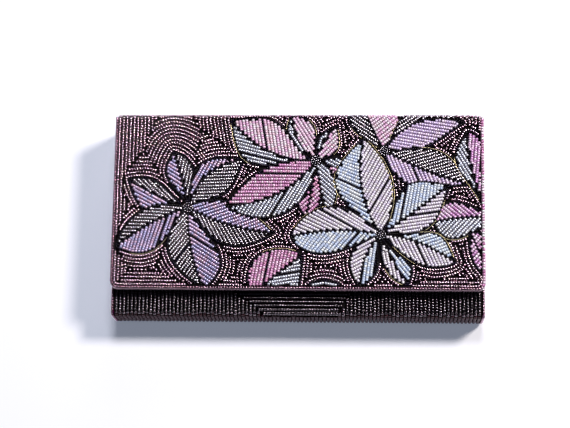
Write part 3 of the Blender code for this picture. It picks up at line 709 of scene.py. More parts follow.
def rowBeads(field, seed, heading, reach):
    # Beads along one straight row, centred in each stretch of it that the field leaves free
    way = np.array([math.cos(math.radians(heading)), math.sin(math.radians(heading))])
    last = np.array(field["free"].shape)[:, None] - 1

    def inside(xs, ys):
        cells = ((np.stack([xs, ys]) - field["low"][:, None]) / field["step"]).round().astype(int)
        return ((cells >= 0) & (cells <= last)).all(0) & field["free"][tuple(np.clip(cells, 0, last))]

    row = fillLine(inside, seed - way * reach, seed + way * reach, field["pitch"])
    return np.stack(row, -1).reshape(-1, 3)


def bestOf(rowsAt, count, pitch):
    # Of six ways to place the levels of the rows, the one that holds the most beads
    return max((rowsAt((np.arange(-count, count + 1) + offset) * pitch) for offset in np.arange(6) / 6),
               key=lambda rows: sum(len(spots) for heading, spots, lot in rows))


def fillHalf(item, key, above):
    # Slanting rows over one side of a leaf, whose heading swings from the base to the tip
    side, curves = item["shape"][key], item["curves"]
    polygon = np.concatenate([curves["midrib"], curves[key][::-1]])
    border = np.concatenate([evenly(curves[k], 0.4 * mm)[0] for k in ("midrib", key)])
    base, tip = curves["midrib"][0], curves["midrib"][-1]
    length = np.linalg.norm(tip - base)
    low, high = polygon.min(0), polygon.max(0)
    steps = [np.arange(low[k], high[k] + art["fineStep"], art["fineStep"]) for k in (0, 1)]
    points = np.stack(np.meshgrid(*steps, indexing="ij"), -1).reshape(-1, 2)
    free = insidePolygon(points, polygon)
    some, margin = np.flatnonzero(free), art["margin"]
    free[some] = (farFrom(points[some], border) > margin) & uncovered(points[some], above, margin)
    if not free.any():
        return []
    field = dict(low=low, free=free.reshape(len(steps[0]), -1), step=art["fineStep"], pitch=art["beadPitch"])
    middle = points[free].mean(0)
    mean = math.radians(sum(side["rows"]) / 2)
    across = np.array([-math.sin(mean), math.cos(mean)])

    def headingAt(spot):
        share = np.clip((spot - base) @ (tip - base) / length ** 2, 0, 1)
        return side["rows"][0] + (side["rows"][1] - side["rows"][0]) * share

    def rowsAt(levels, lot=side["lot"]):
        seeds = [middle + across * level for level in levels]
        rows = [(headingAt(seed), rowBeads(field, seed, headingAt(seed), length), lot) for seed in seeds]
        return [row for row in rows if len(row[1])]

    veins = [np.array(v) * mm for v in item["shape"]["veins"]]
    veins = sorted((v - middle) @ across for v in veins if insidePolygon(v[None], polygon)[0])
    count = int(length / art["rowPitch"]) + 1
    if veins:
        outside = art["veinRoom"] + np.arange(count) * art["rowPitch"]
        levels = list(veins[0] - outside) + list(veins[-1] + outside)
        for first, second in zip(veins, veins[1:]):
            first, second = first + art["veinRoom"], second - art["veinRoom"]
            levels += list(np.linspace(first, second, int(round((second - first) / art["rowPitch"])) + 1))
        rows = rowsAt(veins, "jet") + rowsAt(levels)
    else:
        rows = bestOf(rowsAt, count, art["rowPitch"])
    for heading, spots, lot in rows:
        tint = np.clip(rng.random() * 0.5 + 0.5 * rng.random(len(spots)), 0, 0.999)
        lift, size = (0.0, art["outlineBead"]) if lot == "jet" else (art["leafLift"], art["size"])
        lay(spots[:, :2], heading, lot, tint, lift, size, stretch=spots[:, 2])
    return [(spot, headingAt(spot), side["lot"]) for spot in points[free]]


def fillGaps(spots, least):
    # One more bead wherever the rows leave room for it, the widest gaps first
    finder = searchTree(crowd.all())
    gaps = [(finder.find((*spot, 0))[2], i) for i, (spot, heading, lot) in enumerate(spots)]
    for _, i in sorted((g for g in gaps if g[0] > least), reverse=True):
        spot, heading, lot = spots[i]
        lift, size = (0.0, ground["size"]) if lot == "plum" else (art["leafLift"], art["size"])
        lay(spot[None], heading, lot, lift=lift, size=size, spacing=least)


spots = []
for i in range(len(allLeaves) - 1, -1, -1):
    for key in ("left", "right"):
        spots += fillHalf(allLeaves[i], key, allLeaves[i + 1:])
fillGaps(spots, art["gap"])
print("leaves filled")


def contourRows(field, level, origin, step):
    # Marching squares: the crossings of a level on the grid's edges, chained cell by cell into lines
    high = field > level
    rows, columns = field.shape
    links = {}
    code = high[:-1, :-1] * 1 + high[1:, :-1] * 2 + high[1:, 1:] * 4 + high[:-1, 1:] * 8
    pairs = {1: [(3, 0)], 2: [(0, 1)], 3: [(3, 1)], 4: [(1, 2)], 5: [(3, 0), (1, 2)], 6: [(0, 2)],
             7: [(3, 2)], 8: [(2, 3)], 9: [(2, 0)], 10: [(0, 1), (2, 3)], 11: [(2, 1)], 12: [(1, 3)],
             13: [(1, 0)], 14: [(0, 3)]}

    def edgeOf(i, j, side):
        return ((i, j, 0), (i + 1, j, 1), (i, j + 1, 0), (i, j, 1))[side]

    for i, j in zip(*np.nonzero((code > 0) & (code < 15))):
        for a, b in pairs[int(code[i, j])]:
            first, second = edgeOf(i, j, a), edgeOf(i, j, b)
            links.setdefault(first, []).append(second)
            links.setdefault(second, []).append(first)

    def crossing(edge):
        i, j, upright = edge
        k, m = (i, j + 1) if upright else (i + 1, j)
        share = (level - field[i, j]) / (field[k, m] - field[i, j] + 1e-15)
        return origin + step * np.array([i + (k - i) * share, j + (m - j) * share])

    lines = []
    while links:
        start = next((e for e, near in links.items() if len(near) == 1), next(iter(links)))
        chain = [start]
        while True:
            near = links.pop(chain[-1], [])
            following = [e for e in near if e in links]
            if not following:
                if len(chain) > 2 and chain[0] in near:
                    chain.append(chain[0])
                break
            chain.append(following[0])
        if len(chain) > 2:
            lines.append(np.array([crossing(e) for e in chain]))
    return lines


origin = np.array([-body["half"], body["hem"]])
columnsX = np.arange(origin[0], body["half"], ground["step"])
rowsS = np.arange(origin[1], marks["backFold"] + 3 * mm, ground["step"])
gridX, gridS = np.meshgrid(columnsX, rowsS, indexing="ij")
gridPoints = np.stack([gridX.ravel(), gridS.ravel()], -1)
covered = np.zeros(len(gridPoints), bool)
rim = []
for i, item in enumerate(allLeaves):
    low, high = item["outline"].min(0), item["outline"].max(0)
    near = np.flatnonzero(((gridPoints > low) & (gridPoints < high)).all(1))
    covered[near[insidePolygon(gridPoints[near], item["outline"])]] = True
    for key in ("left", "right"):
        points = evenly(item["curves"][key], 0.4 * mm)[0]
        for other in allLeaves[:i] + allLeaves[i + 1:]:
            points = points[~insidePolygon(points, other["outline"])]
        rim.append(points)
finder = searchTree(np.concatenate(rim))
away = np.array([finder.find((x, s, 0))[2] for x, s in gridPoints])
field = np.minimum(np.where(covered, -away, away), edgeDistance(gridPoints[:, 0], gridPoints[:, 1]))
field = field.reshape(gridX.shape)


def bays(field, least):
    # The areas of ground that lie apart from each other, as lists of grid cells
    waiting = set(zip(*(v.tolist() for v in np.nonzero(field > least))))
    found = []
    while waiting:
        stack, cells = [waiting.pop()], []
        while stack:
            i, j = stack.pop()
            cells.append((i, j))
            for near in ((i + 1, j), (i - 1, j), (i, j + 1), (i, j - 1)):
                if near in waiting:
                    waiting.remove(near)
                    stack.append(near)
        found.append(np.array(cells))
    return found


# A small bay between leaves is filled with straight rows along its length, a wide one with rows round its
# outline
wide = field.copy()
for cells in bays(field, ground["bay"]):
    if field[tuple(cells.T)].max() > ground["narrow"]:
        continue
    wide[tuple(cells.T)] = 0
    points = origin + cells * ground["step"]
    middle = points.mean(0)
    spread = (points - middle).T @ (points - middle)
    way = np.linalg.eigh(spread)[1][:, 1] if len(cells) > 3 else np.array([1.0, 0.0])
    heading, across = math.degrees(math.atan2(way[1], way[0])), np.array([-way[1], way[0]])
    own = np.zeros(field.shape, bool)
    own[tuple(cells.T)] = True
    patch = dict(low=origin, free=own, step=ground["step"], pitch=ground["beadPitch"])
    reach = np.abs((points - middle) @ way).max() + 2 * mm
    count = int(np.abs((points - middle) @ across).max() / ground["rowPitch"]) + 1

    def rowsAt(levels):
        seeds = [middle + across * level for level in levels]
        return [(heading, rowBeads(patch, seed, heading, reach), "plum") for seed in seeds]

    for heading, spots, lot in bestOf(rowsAt, count, ground["rowPitch"]):
        lay(spots[:, :2], heading, lot, size=ground["size"], spacing=ground["tooClose"], stretch=spots[:, 2])

rows, rowCrowd = [], Crowd()
level = ground["firstRow"]
while level < wide.max():
    for line in contourRows(wide, level, origin, ground["step"]):
        if np.hypot(*np.diff(line, axis=0).T).sum() < ground["shortest"]:
            continue
        run = []
        for (x, s), heading in zip(*evenly(line, ground["beadPitch"], rng.random() * ground["beadPitch"])):
            room = crowd.hasRoom(x, s, ground["tooClose"])
            if room and rowCrowd.admit(x, s, ground["alongFree"], heading, ground["asideFree"]):
                run.append((x, s, heading))
            else:
                rows.append(run)
                run = []
        rows.append(run)
    level += ground["rowPitch"]
rows = [np.array(run) for run in rows if run]


def settle(rows, anchors):
    # Sewn rows share out their room: each gives way sideways, smoothly along its length, to the rows and the
    # outlines that lie nearer than they should
    ends = np.cumsum([len(run) for run in rows])
    points, turn = np.concatenate(rows)[:, :2], np.radians(np.concatenate(rows)[:, 2])
    ahead, aside = np.stack([np.cos(turn), np.sin(turn)], -1), np.stack([-np.sin(turn), np.cos(turn)], -1)
    count = len(points)
    finder = searchTree(np.concatenate([points, anchors]))
    pairs = [(i, near[1]) for i, (x, s) in enumerate(points) for near in finder.find_range((x, s, 0), 3 * mm)]
    first, second = np.array([pair for pair in pairs if pair[0] != pair[1]]).T
    want = np.where(second < count, ground["fromRow"], ground["fromOutline"])
    for _ in range(ground["rounds"]):
        offset = points[first] - np.concatenate([points, anchors])[second]
        along, side = (offset * ahead[first]).sum(1), (offset * aside[first]).sum(1)
        beside = (np.abs(along) < 0.8 * ground["beadPitch"]) & (np.abs(side) > 0.8 * mm)
        lack = np.where(beside, np.maximum(want - np.abs(side), 0), 0)
        pushes = np.zeros((2, count))
        for k, chosen in enumerate((side > 0, side < 0)):
            np.maximum.at(pushes[k], first[chosen], lack[chosen])
        push = 0.35 * (pushes[0] - pushes[1])
        for begin, end in zip(ends - [len(run) for run in rows], ends):
            window = np.ones(min(7, 2 * ((end - begin) // 2) + 1))
            even = (np.convolve(push[begin:end], window, "same")
                    / np.convolve(np.ones(end - begin), window, "same"))
            points[begin:end] += even[:end - begin, None] * aside[begin:end]
    return points


settled = settle(rows, crowd.all())
lay(settled, np.concatenate(rows)[:, 2], "plum", size=ground["size"], spacing=0.6 * mm)
free = np.flatnonzero(field.ravel() > ground["firstRow"] - 0.15 * mm)
slopes = [slope.ravel() for slope in np.gradient(field)]
along = np.degrees(np.arctan2(slopes[1], slopes[0])) + 90
fillGaps([(gridPoints[i], along[i], "plum") for i in free], ground["gap"])
flapArt = joinBeads(placed)
print("ground strung:", len(flapArt["lot"]), "beads on the flap and the spine")

# Beads that would press on each other across an opened fold go into a piece of their own at each fold
foldRoom = 1.15 * mm
s = flapArt["s"]
flapBeads = pick(flapArt, s < marks["topFold"] - foldRoom)
beadPieces("flapGroundBeads", pick(flapBeads, flapBeads["lot"] == "plum"), "flap")
names = dict(jet="flapOutlineBeads", gunmetal="flapCentreBeads")
for lot in sorted(set(flapBeads["lot"]) - {"plum"}):
    name = names.get(lot, "flap" + lot.capitalize() + "Beads")
    beadPieces(name, pick(flapBeads, flapBeads["lot"] == lot), "flap")


def column(x, low, high):
    s = np.linspace(low, high, max(1, int(round((high - low) / beadPitch))) + 1)
    return strung(np.full(len(s), x), s, 90.0, "plum")


edgeX = body["half"] - beadDepth
foldBeads = [pick(flapArt, (s >= marks["topFold"] - foldRoom) & (s < marks["spine"] + foldRoom))]
foldBeads += [column(x, marks["topFold"] + 0.3 * mm, marks["spine"] - 0.3 * mm) for x in (-edgeX, edgeX)]
beadPiece("topFoldBeads", joinBeads(foldBeads), (
    "spine", "flap", (0, body["top"], body["foldLevel"] - foldRoom),
    (0, body["foldLine"] - foldRoom, body["flapTop"])))
onSpine = (s >= marks["spine"] + foldRoom) & (s < marks["backFold"] - foldRoom)
beadPieces("spineBeads", pick(flapArt, onSpine), "spine")
backFoldBeads = [pick(flapArt, (s >= marks["backFold"] - foldRoom) & (s < marks["backFold"]))]

# Back, bottom and front: upright columns that run round the bottom, and level rows in the middle of the front
count = int(edgeX / rowPitch)
columnXs = np.arange(-count, count + 1) * (edgeX / (count + 1))
band = dict(leftLow=(-17.8 * mm, -58.1 * mm), leftHigh=(-30.3 * mm, -48.1 * mm),
            rightLow=(22.8 * mm, -57.9 * mm), rightHigh=(27.3 * mm, -50.1 * mm), widest=36 * mm)


def frontY(s):
    return s - marks["front"] + body["bottom"] + body["bottomRadius"]


def inBlock(x, s):
    # Between the two mitres of the front, where the rows lie level; the mitres stop at the widest
    y = frontY(s)
    left = band["leftLow"][0] + (y - band["leftLow"][1]) * (
        (band["leftHigh"][0] - band["leftLow"][0]) / (band["leftHigh"][1] - band["leftLow"][1]))
    right = band["rightLow"][0] + (y - band["rightLow"][1]) * (
        (band["rightHigh"][0] - band["rightLow"][0]) / (band["rightHigh"][1] - band["rightLow"][1]))
    return (x > np.maximum(left, -band["widest"])) & (x < np.minimum(right, band["widest"]))


snapCentre = np.array([0.0, (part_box("snap_socket_cap")[0][1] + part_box("snap_socket_cap")[1][1]) / 2])
snapWell = 7.6 * mm + beadDepth  # radius of the cover's well round the cap, and half a bead
lipS = marks["end"] - beadDepth
bodyBeads, bodyCrowd = [], Crowd()


def layOnBody(x, s, heading):
    # Beads of the case, left out over the snap's cap and where another row has the room
    keep = np.hypot(x - snapCentre[0], frontY(s) - snapCentre[1]) > snapWell
    keep &= np.array([bodyCrowd.admit(a, b, 1.45 * mm) for a, b in zip(x, s)], bool)
    # Painted shade: the case takes the darker copy of the plum beads, and the turn round the bottom the
    # darkest
    turned = (s > marks["backTurn"]) & (s < marks["front"] - 3.2 * mm)
    for lot, chosen in (("plumShade", keep & ~turned), ("plumDeep", keep & turned)):
        bodyBeads.append(strung(x[chosen], s[chosen], heading, lot))


x = np.arange(-edgeX + rowPitch * 0.8, edgeX - rowPitch * 0.8, beadPitch)
layOnBody(x, np.full(len(x), lipS), 0.0)
for level in np.arange(lipS - rowPitch, marks["frontTurn"] + 1.0 * mm, -rowPitch):
    x = np.arange(-40 * mm, 40 * mm, beadPitch) + rng.random() * beadPitch
    x = x[inBlock(x, np.full(len(x), level))]
    layOnBody(x, np.full(len(x), level), 0.0)
for x in columnXs:
    uneven = rng.uniform(0.985, 1.015)
    s = np.arange(marks["back"] + 0.5 * beadPitch, lipS - rowPitch * 0.9, beadPitch * uneven)
    s = s[(s < marks["frontTurn"] + 1.0 * mm) | ~inBlock(np.full(len(s), x), s)]
    layOnBody(np.full(len(s), x), s, 90.0)
bodyBeads = joinBeads(bodyBeads)
s = bodyBeads["s"]
for name, low, high in (("backBeads", marks["back"] + foldRoom, marks["backTurn"]),
                        ("bottomBeads", marks["backTurn"], marks["front"]),
                        ("frontBeads", marks["front"], marks["end"] + 1)):
    beadPieces(name, pick(bodyBeads, (s >= low) & (s < high)), "case")
backFoldBeads += [column(x, marks["backFold"] + 0.3 * mm, marks["back"] - 0.3 * mm)
                  for x in np.concatenate([columnXs, [-edgeX, edgeX]])]
backFoldBeads.append(pick(bodyBeads, s < marks["back"] + foldRoom))
beadPiece("backFoldBeads", joinBeads(backFoldBeads), (
    "case", "spine", (0, body["foldLine"] - foldRoom, 0), (0, body["top"], body["backFoldLevel"] + foldRoom)))
print("case strung")


def pathBeads(path, normals):
    # Plum beads along a path in space, with the outward normal given at each of its points
    travelled = np.concatenate([[0], np.cumsum(np.linalg.norm(np.diff(path, axis=0), axis=1))])
    at = np.linspace(0, travelled[-1], max(1, int(round(travelled[-1] / beadPitch))) + 1)
    place, normal = spaced(path, travelled, at), spaced(normals, travelled, at)
    axis = spaced(path, travelled, at + beadPitch / 3) - spaced(path, travelled, at - beadPitch / 3)
    axis /= np.linalg.norm(axis, axis=1)[:, None]
    normal -= axis * (normal * axis).sum(1)[:, None]
    normal /= np.linalg.norm(normal, axis=1)[:, None]
    full = np.ones(len(at))
    return dict(place=place, normal=normal, axis=axis, s=at, lot=np.full(len(at), "plum"),
                tint=rng.random(len(at)), size=full, stretch=full)


def edgePath(inset, end):
    # Down the left edge of the flap, round both lower corners and up the right edge, with outward directions
    radius = body["hemRadius"] - inset
    half, low = body["half"] - inset, body["hem"] + inset
    turn = np.radians(np.linspace(180, 270, 10))
    out = np.stack([np.cos(turn), np.sin(turn)], -1)
    left = np.array([radius - half, low + radius]) + radius * out
    mirror = np.array([-1, 1])
    path = np.concatenate([[[-half, end]], left, left[::-1] * mirror, [[half, end]]])
    return path, np.concatenate([[[-1, 0]], out, out[::-1] * mirror, [[1, 0]]])


def tube(name, lines, radius, material, on, sides=5):
    # Round cord along each line of points, with closed ends, all in one mesh
    points, faces = [], []
    for line in lines:
        ahead = np.gradient(line, axis=0)
        ahead /= np.linalg.norm(ahead, axis=1)[:, None]
        aside = np.cross([0, 0, 1.0], ahead)
        aside /= np.linalg.norm(aside, axis=1)[:, None]
        over = np.cross(ahead, aside)
        faces += loopFaces(len(line), sides, len(points))
        turn = np.arange(sides) * 2 * np.pi / sides
        points += [place + radius * (a * math.cos(t) + o * math.sin(t))
                   for place, a, o in zip(line, aside, over) for t in turn]
    dress(surfaceMesh(name, points, faces, material), on)


# Gilt cord couched beside some outlines: by spray, the leaf, its side, the share of its length from and to,
# and how far outwards in mm, where that isn't the usual
cord = dict(radius=0.17 * mm, lift=0.40 * mm, pitch=1.2 * mm, outwards=0.62)
cordRuns = dict(
    white=((5, "right", 0.12, 0.98), (5, "right", 0.30, 0.98, -0.55), (5, "left", 0.45, 0.95),
           (2, "left", 0.35, 0.98), (2, "right", 0.20, 0.55), (1, "right", 0.55, 0.98, 0.55),
           (4, "right", 0.55, 0.98), (3, "right", 0.45, 0.85)),
    topRight=((2, "left", 0.35, 0.96), (0, "left", 0.10, 0.60), (1, "left", 0.1, 0.5)),
    rightEdge=((0, "left", 0.15, 0.75),),
    rightEdgeMiddle=((0, "left", 0.35, 0.95),),
    pink=((5, "left", 0.60, 0.98), (5, "right", 0.65, 0.98), (0, "left", 0.35, 0.98),
          (0, "right", 0.45, 0.98), (1, "right", 0.35, 0.95), (3, "right", 0.2, 0.9), (3, "left", 0.35, 0.9)),
    hem=((0, "left", 0.55, 0.98),),
    left=((5, "left", 0.55, 0.98), (3, "left", 0.35, 0.9)),
)
cords = []
for sprayName, runs in cordRuns.items():
    own = [i for i, item in enumerate(allLeaves) if item["spray"]["name"] == sprayName]
    for leafIndex, key, first, last, *other in runs:
        at = own[leafIndex]
        curve = allLeaves[at]["curves"][key]
        start, stop = int(first * (len(curve) - 1)), int(last * (len(curve) - 1)) + 1
        curve = curve[start:stop]
        way = np.gradient(curve, axis=0)
        way /= np.linalg.norm(way, axis=1)[:, None]
        reach = (other or [cord["outwards"]])[0] * mm * (1 if key == "left" else -1)
        points, _ = evenly(curve + reach * np.stack([-way[:, 1], way[:, 0]], -1), cord["pitch"])
        shown = uncovered(points, allLeaves[at + 1:], 0.3 * mm) & (points[:, 1] < marks["topFold"] - 0.5 * mm)
        edges = np.flatnonzero(np.diff(np.concatenate([[0], shown, [0]])))
        cords += [onSkin(beadRoute, *points[a:b].T, cord["lift"])[0]
                  for a, b in zip(edges[::2], edges[1::2]) if b - a > 3]
tube("flapCords", cords, cord["radius"], gilt, "flap")

edging = dict(levels=(body["flapTop"] - beadDepth, (body["flapTop"] + body["flapUnder"]) / 2,
                      body["flapUnder"] + beadDepth), clothWidth=0.45 * mm)
rows = []
for z, tilt in zip(edging["levels"], (0.7, 0.0, -0.5)):
    path, outward = edgePath(beadDepth, body["foldLine"] - 0.5 * beadPitch - max(0, body["foldLevel"] - z))
    full = np.ones((len(path), 1))
    row = pathBeads(np.hstack([path, full * z]), np.hstack([outward, full * tilt]))
    x, y, _ = row["place"].T
    # Painted light and shade on the edging: the edge copy of the plum beads all round, the darker copy in the
    # lowest row along the hem, and the pink lit copy at the right end
    hemLot = "plumEdge" if tilt >= 0 else "plumShade"
    row["lot"] = np.where(y < body["hem"] + 3 * mm, hemLot, "plumEdge")
    row["lot"] = np.where(x > edgeX - 1 * mm, "pinkEdge", row["lot"])
    rows.append(row)
beadPieces("flapEdgeBeads", joinBeads(rows), "flap")

rows = []
pull = cornerPull(edgeX)
for side in (-1, 1):
    for y in (body["top"] - beadDepth - pull, body["top"] - beadDepth - 2.12 * mm - 0.65 * pull):
        near = 0.5 * beadPitch + max(0, body["foldLine"] - y)
        zs = np.linspace(body["backFoldLevel"] + near, body["foldLevel"] - near, 8)
        tilt = 0.7 if y > body["foldLine"] else 0.0
        path = np.array([(side * edgeX, y, z) for z in zs])
        rows.append(pathBeads(path, np.tile([side, tilt, 0.0], (8, 1))))
beadPiece("spineEdgeBeads", joinBeads(rows), "spine")


def gussetOffset(y, z):
    # How far an end gusset is creased inwards: nothing at the bottom, most at mid depth by the mouth
    foot, middle, rimWidth = body["bottom"] + body["bottomRadius"], body["front"] / 2, 3.2 * mm
    rise = np.clip((y - foot) / (body["mouth"] - foot), 0, 1)
    return 1.2 * mm * rise * np.clip(1 - np.abs(z - middle) / (middle - rimWidth), 0, 1)


for sideName, side in (("Left", -1), ("Right", 1)):
    rows = []
    inset = beadDepth
    while inset < body["front"] / 2:
        radius = max(body["bottomRadius"] - inset, 0.3 * mm)
        low, high, foot = inset, body["front"] - inset, body["bottom"] + inset
        turn = np.radians(np.linspace(0, 90, 8))
        path = [(body["mouth"] - 0.4 * beadPitch, low), (foot + radius, low)]
        path += [(foot + radius - radius * math.sin(a), low + radius - radius * math.cos(a)) for a in turn]
        path += [(foot + radius - radius * math.cos(a), high - radius + radius * math.sin(a)) for a in turn]
        path += [(body["mouth"] - 0.4 * beadPitch, high)]
        path = np.array(path)
        fine, _ = evenly(path, 1.0 * mm)
        x = side * (edgeX - gussetOffset(fine[:, 0], fine[:, 1]))
        outwardY = -0.7 * (fine[:, 0] < body["bottom"] + 2.5 * mm)
        outwardZ = 0.7 * (fine[:, 1] > body["front"] - 2 * mm) - 0.7 * (fine[:, 1] < 2 * mm)
        normals = np.stack([np.full(len(x), side), outwardY, outwardZ], -1).astype(float)
        rows.append(pathBeads(np.stack([x, fine[:, 0], fine[:, 1]], -1), normals))
        inset += 2.12 * mm
    beadPieces("gussetBeads" + sideName, joinBeads(rows), "case")
print("edges strung")


def arcInset(radius, past):
    # How far in the outline of a rounded corner lies, at a distance past the corner's start
    return radius - np.sqrt(np.maximum(radius ** 2 - np.maximum(radius - past, 0) ** 2, 0))


def clothStrip(name, low, high, on, node, halfWidth=body["panelHalf"], depth=body["clothDepth"],
               rowsAlong=None, short=0.3 * mm, **soft):
    # A stretch of ground cloth along the skin strip, as a closed thin sheet that stops short of the folds
    grids = []
    for level in (depth, depth + 0.4 * mm):
        route = skinRoute(min(level, foldDepth - 0.05 * mm))
        start, end = route["starts"][low] + short, route["starts"][high] - short * (high != "end")
        if low == "flap":
            start = flapBox[0][1]
        rows = rowsAlong or max(4, int((end - start) / (3 * mm)))
        s, half = np.linspace(start, end, rows), np.full(rows, halfWidth)
        if low == "flap":
            radius = body["hemRadius"] - 2.7 * mm
            turn = radius * (1 - np.cos(np.linspace(0, np.pi / 2, 6)))
            s = np.concatenate([start + turn, s[s > start + radius]])
            half = halfWidth - arcInset(radius, s - start)
        x = half[:, None] * np.linspace(-1, 1, 60)
        place, normal, _ = onSkin(route, x, np.repeat(s[:, None], 60, 1))
        place[..., 1] -= cornerPull(x) * np.clip(normal[..., 1], 0, 1)
        grids.append(place)
    dress(closedShell(name, grids, groundSatin), on, node, **soft)


clothStrip("flapCloth", "flap", "topFold", "flap", "flap_cover", flat=(0.2086, 0.0984), held="stretched",
           rests_on=["flap_board"])
clothStrip("bodyCloth", "back", "end", "case", "body_cover", rowsAlong=90, flat=(0.2086, 0.2430),
           held="stretched", rests_on=["back_board", "front_board"])
clothStrip("spineCloth", "spine", "backFold", "spine", "spine_cover", flat=(0.2086, 0.0280), held="stretched",
           rests_on=["spine_board"])
foldCloth = dict(halfWidth=body["half"] - 0.6 * mm, depth=1.9 * mm, rowsAlong=10, short=-0.4 * mm)
clothStrip("topFoldCloth", "topFold", "spine", (
    "spine", "flap", (0, body["top"], body["foldLevel"]), (0, body["foldLine"], body["flapTop"])),
    "top_fold", **foldCloth)
clothStrip("backFoldCloth", "backFold", "back", (
    "case", "spine", (0, body["foldLine"], 0), (0, body["top"], body["backFoldLevel"])),
    "back_fold", **foldCloth)

# Bands of cloth under the edging beads
bandInsets = (1.95 * mm, 1.95 * mm + edging["clothWidth"])
grids = []
for inset in bandInsets:
    layers = []
    for z in np.linspace(body["flapUnder"] + 0.1 * mm, body["flapTop"] - 0.6 * mm, 5):
        path, _ = edgePath(inset, body["foldLine"] - 0.3 * mm - max(0, body["foldLevel"] - z))
        layers.append(np.hstack([path, np.full((len(path), 1), z)]))
    grids.append(np.array(layers))
dress(closedShell("flapEdgeCloth", grids, groundSatin), "flap", "flap_edging")
for sideName, side in (("Left", -1), ("Right", 1)):
    node = "spine_edging_" + sideName.lower()
    grids = []
    for inset in bandInsets:
        layers = []
        for y in np.linspace(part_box(node)[0][1] + 0.1 * mm, body["top"] - 0.6 * mm, 5):
            near = 0.3 * mm + max(0, body["foldLine"] - y)
            zs = np.linspace(body["backFoldLevel"] + near, body["foldLevel"] - near, 8)
            layers.append(np.stack([np.full(8, side * (body["half"] - inset)), np.full(8, y), zs], -1))
        grids.append(np.array(layers))
    dress(closedShell("spineEdgeCloth" + sideName, grids, groundSatin), "spine", node)
    radius, bottom = body["bottomRadius"], body["bottom"]
    grids = []
    for depth in (2.0 * mm, 2.4 * mm):
        y = np.concatenate([bottom + radius * (1 - np.cos(np.linspace(0, np.pi / 2, 7))),
                            np.linspace(bottom + radius, body["mouth"], 40)[1:]]) + 0.15 * mm
        y[-1] = body["mouth"]
        inset = arcInset(radius, y - bottom - 0.15 * mm)[:, None]
        z = inset + 0.15 * mm + np.linspace(0, 1, 14) * (body["front"] - 0.3 * mm - 2 * inset)
        ys = np.repeat(y[:, None], 14, 1)
        grids.append(np.stack([side * (body["half"] - depth - gussetOffset(ys, z)), ys, z], -1))
    dress(closedShell("gussetCloth" + sideName, grids, groundSatin), "case", "gusset_" + sideName.lower(),
          flat=(0.0254, 0.1123), held="stretched", rests_on=["lining_bag"])
print("cloth laid")


def flatSheet(name, node, ripple, on, turns=((), ()), corner=0.0, columns=60, rows=24):
    # A lining sheet in its CAD box, with low ripples where the satin is eased on. Turns are the pairs of
    # points in section, seen face and glued face, over which it folds round its board's first and last end
    low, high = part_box(node)
    size = [high[k] - low[k] for k in range(3)]
    thin = int(np.argmin(size))
    wide, tall = [k for k in range(3) if k != thin]
    u, v = np.meshgrid(np.linspace(0, 1, columns), np.linspace(0, 1, rows), indexing="ij")
    inset = arcInset(corner, v * size[tall])
    wave = np.sin(u * 23 + 2 * np.sin(v * 5)) * np.sin(v * 9 + 3 * u) * np.sin(np.pi * u) * np.sin(np.pi * v)
    grids = []
    for share in (0, 1):
        points = np.zeros((columns, rows, 3))
        points[..., wide] = low[wide] + inset + u * (size[wide] - 2 * inset)
        points[..., tall] = low[tall] + v * size[tall]
        points[..., thin] = low[thin] + share * size[thin] + ripple * wave
        folded = []
        for at, steps in zip((0, -1), turns):
            layers = [points[:, at].copy() for _ in steps]
            for layer, step in zip(layers, steps):
                layer[:, 1:] = np.array(step[share]) * mm
            folded.append(layers[::-1] if at == 0 else layers)
        grids.append(np.stack(folded[0] + [points[:, k] for k in range(rows)] + folded[1], 1))
    turned = sum(math.dist(a[0], b[0]) for steps in turns for a, b in zip(steps, steps[1:])) * mm
    longer, shorter = sorted((size[wide], size[tall]), reverse=True)
    dress(closedShell(name, grids, liningSatin), on, node, "lining_satin", flat=(longer, shorter + turned),
          held="stretched")


flatSheet("flapLiningSheet", "flap_lining", -0.15 * mm, "flap", corner=2.3 * mm, turns=(
    (), (((54.08, 27.3), (53.9, 27.6)), ((54.15, 27.8), (53.9, 27.9)), ((54.15, 30.9), (53.9, 30.9)))))
flatSheet("spineLiningSheet", "spine_lining", -0.1 * mm, "spine", turns=(
    (((54.37, 4.72), (54.85, 4.96)), ((54.62, 4.6), (54.95, 4.9)), ((56.25, 4.6), (56.25, 4.9))),
    (((54.37, 27.6), (54.85, 27.4)), ((54.8, 28.5), (54.98, 28.25)), ((56.25, 28.75), (56.25, 28.45)))))


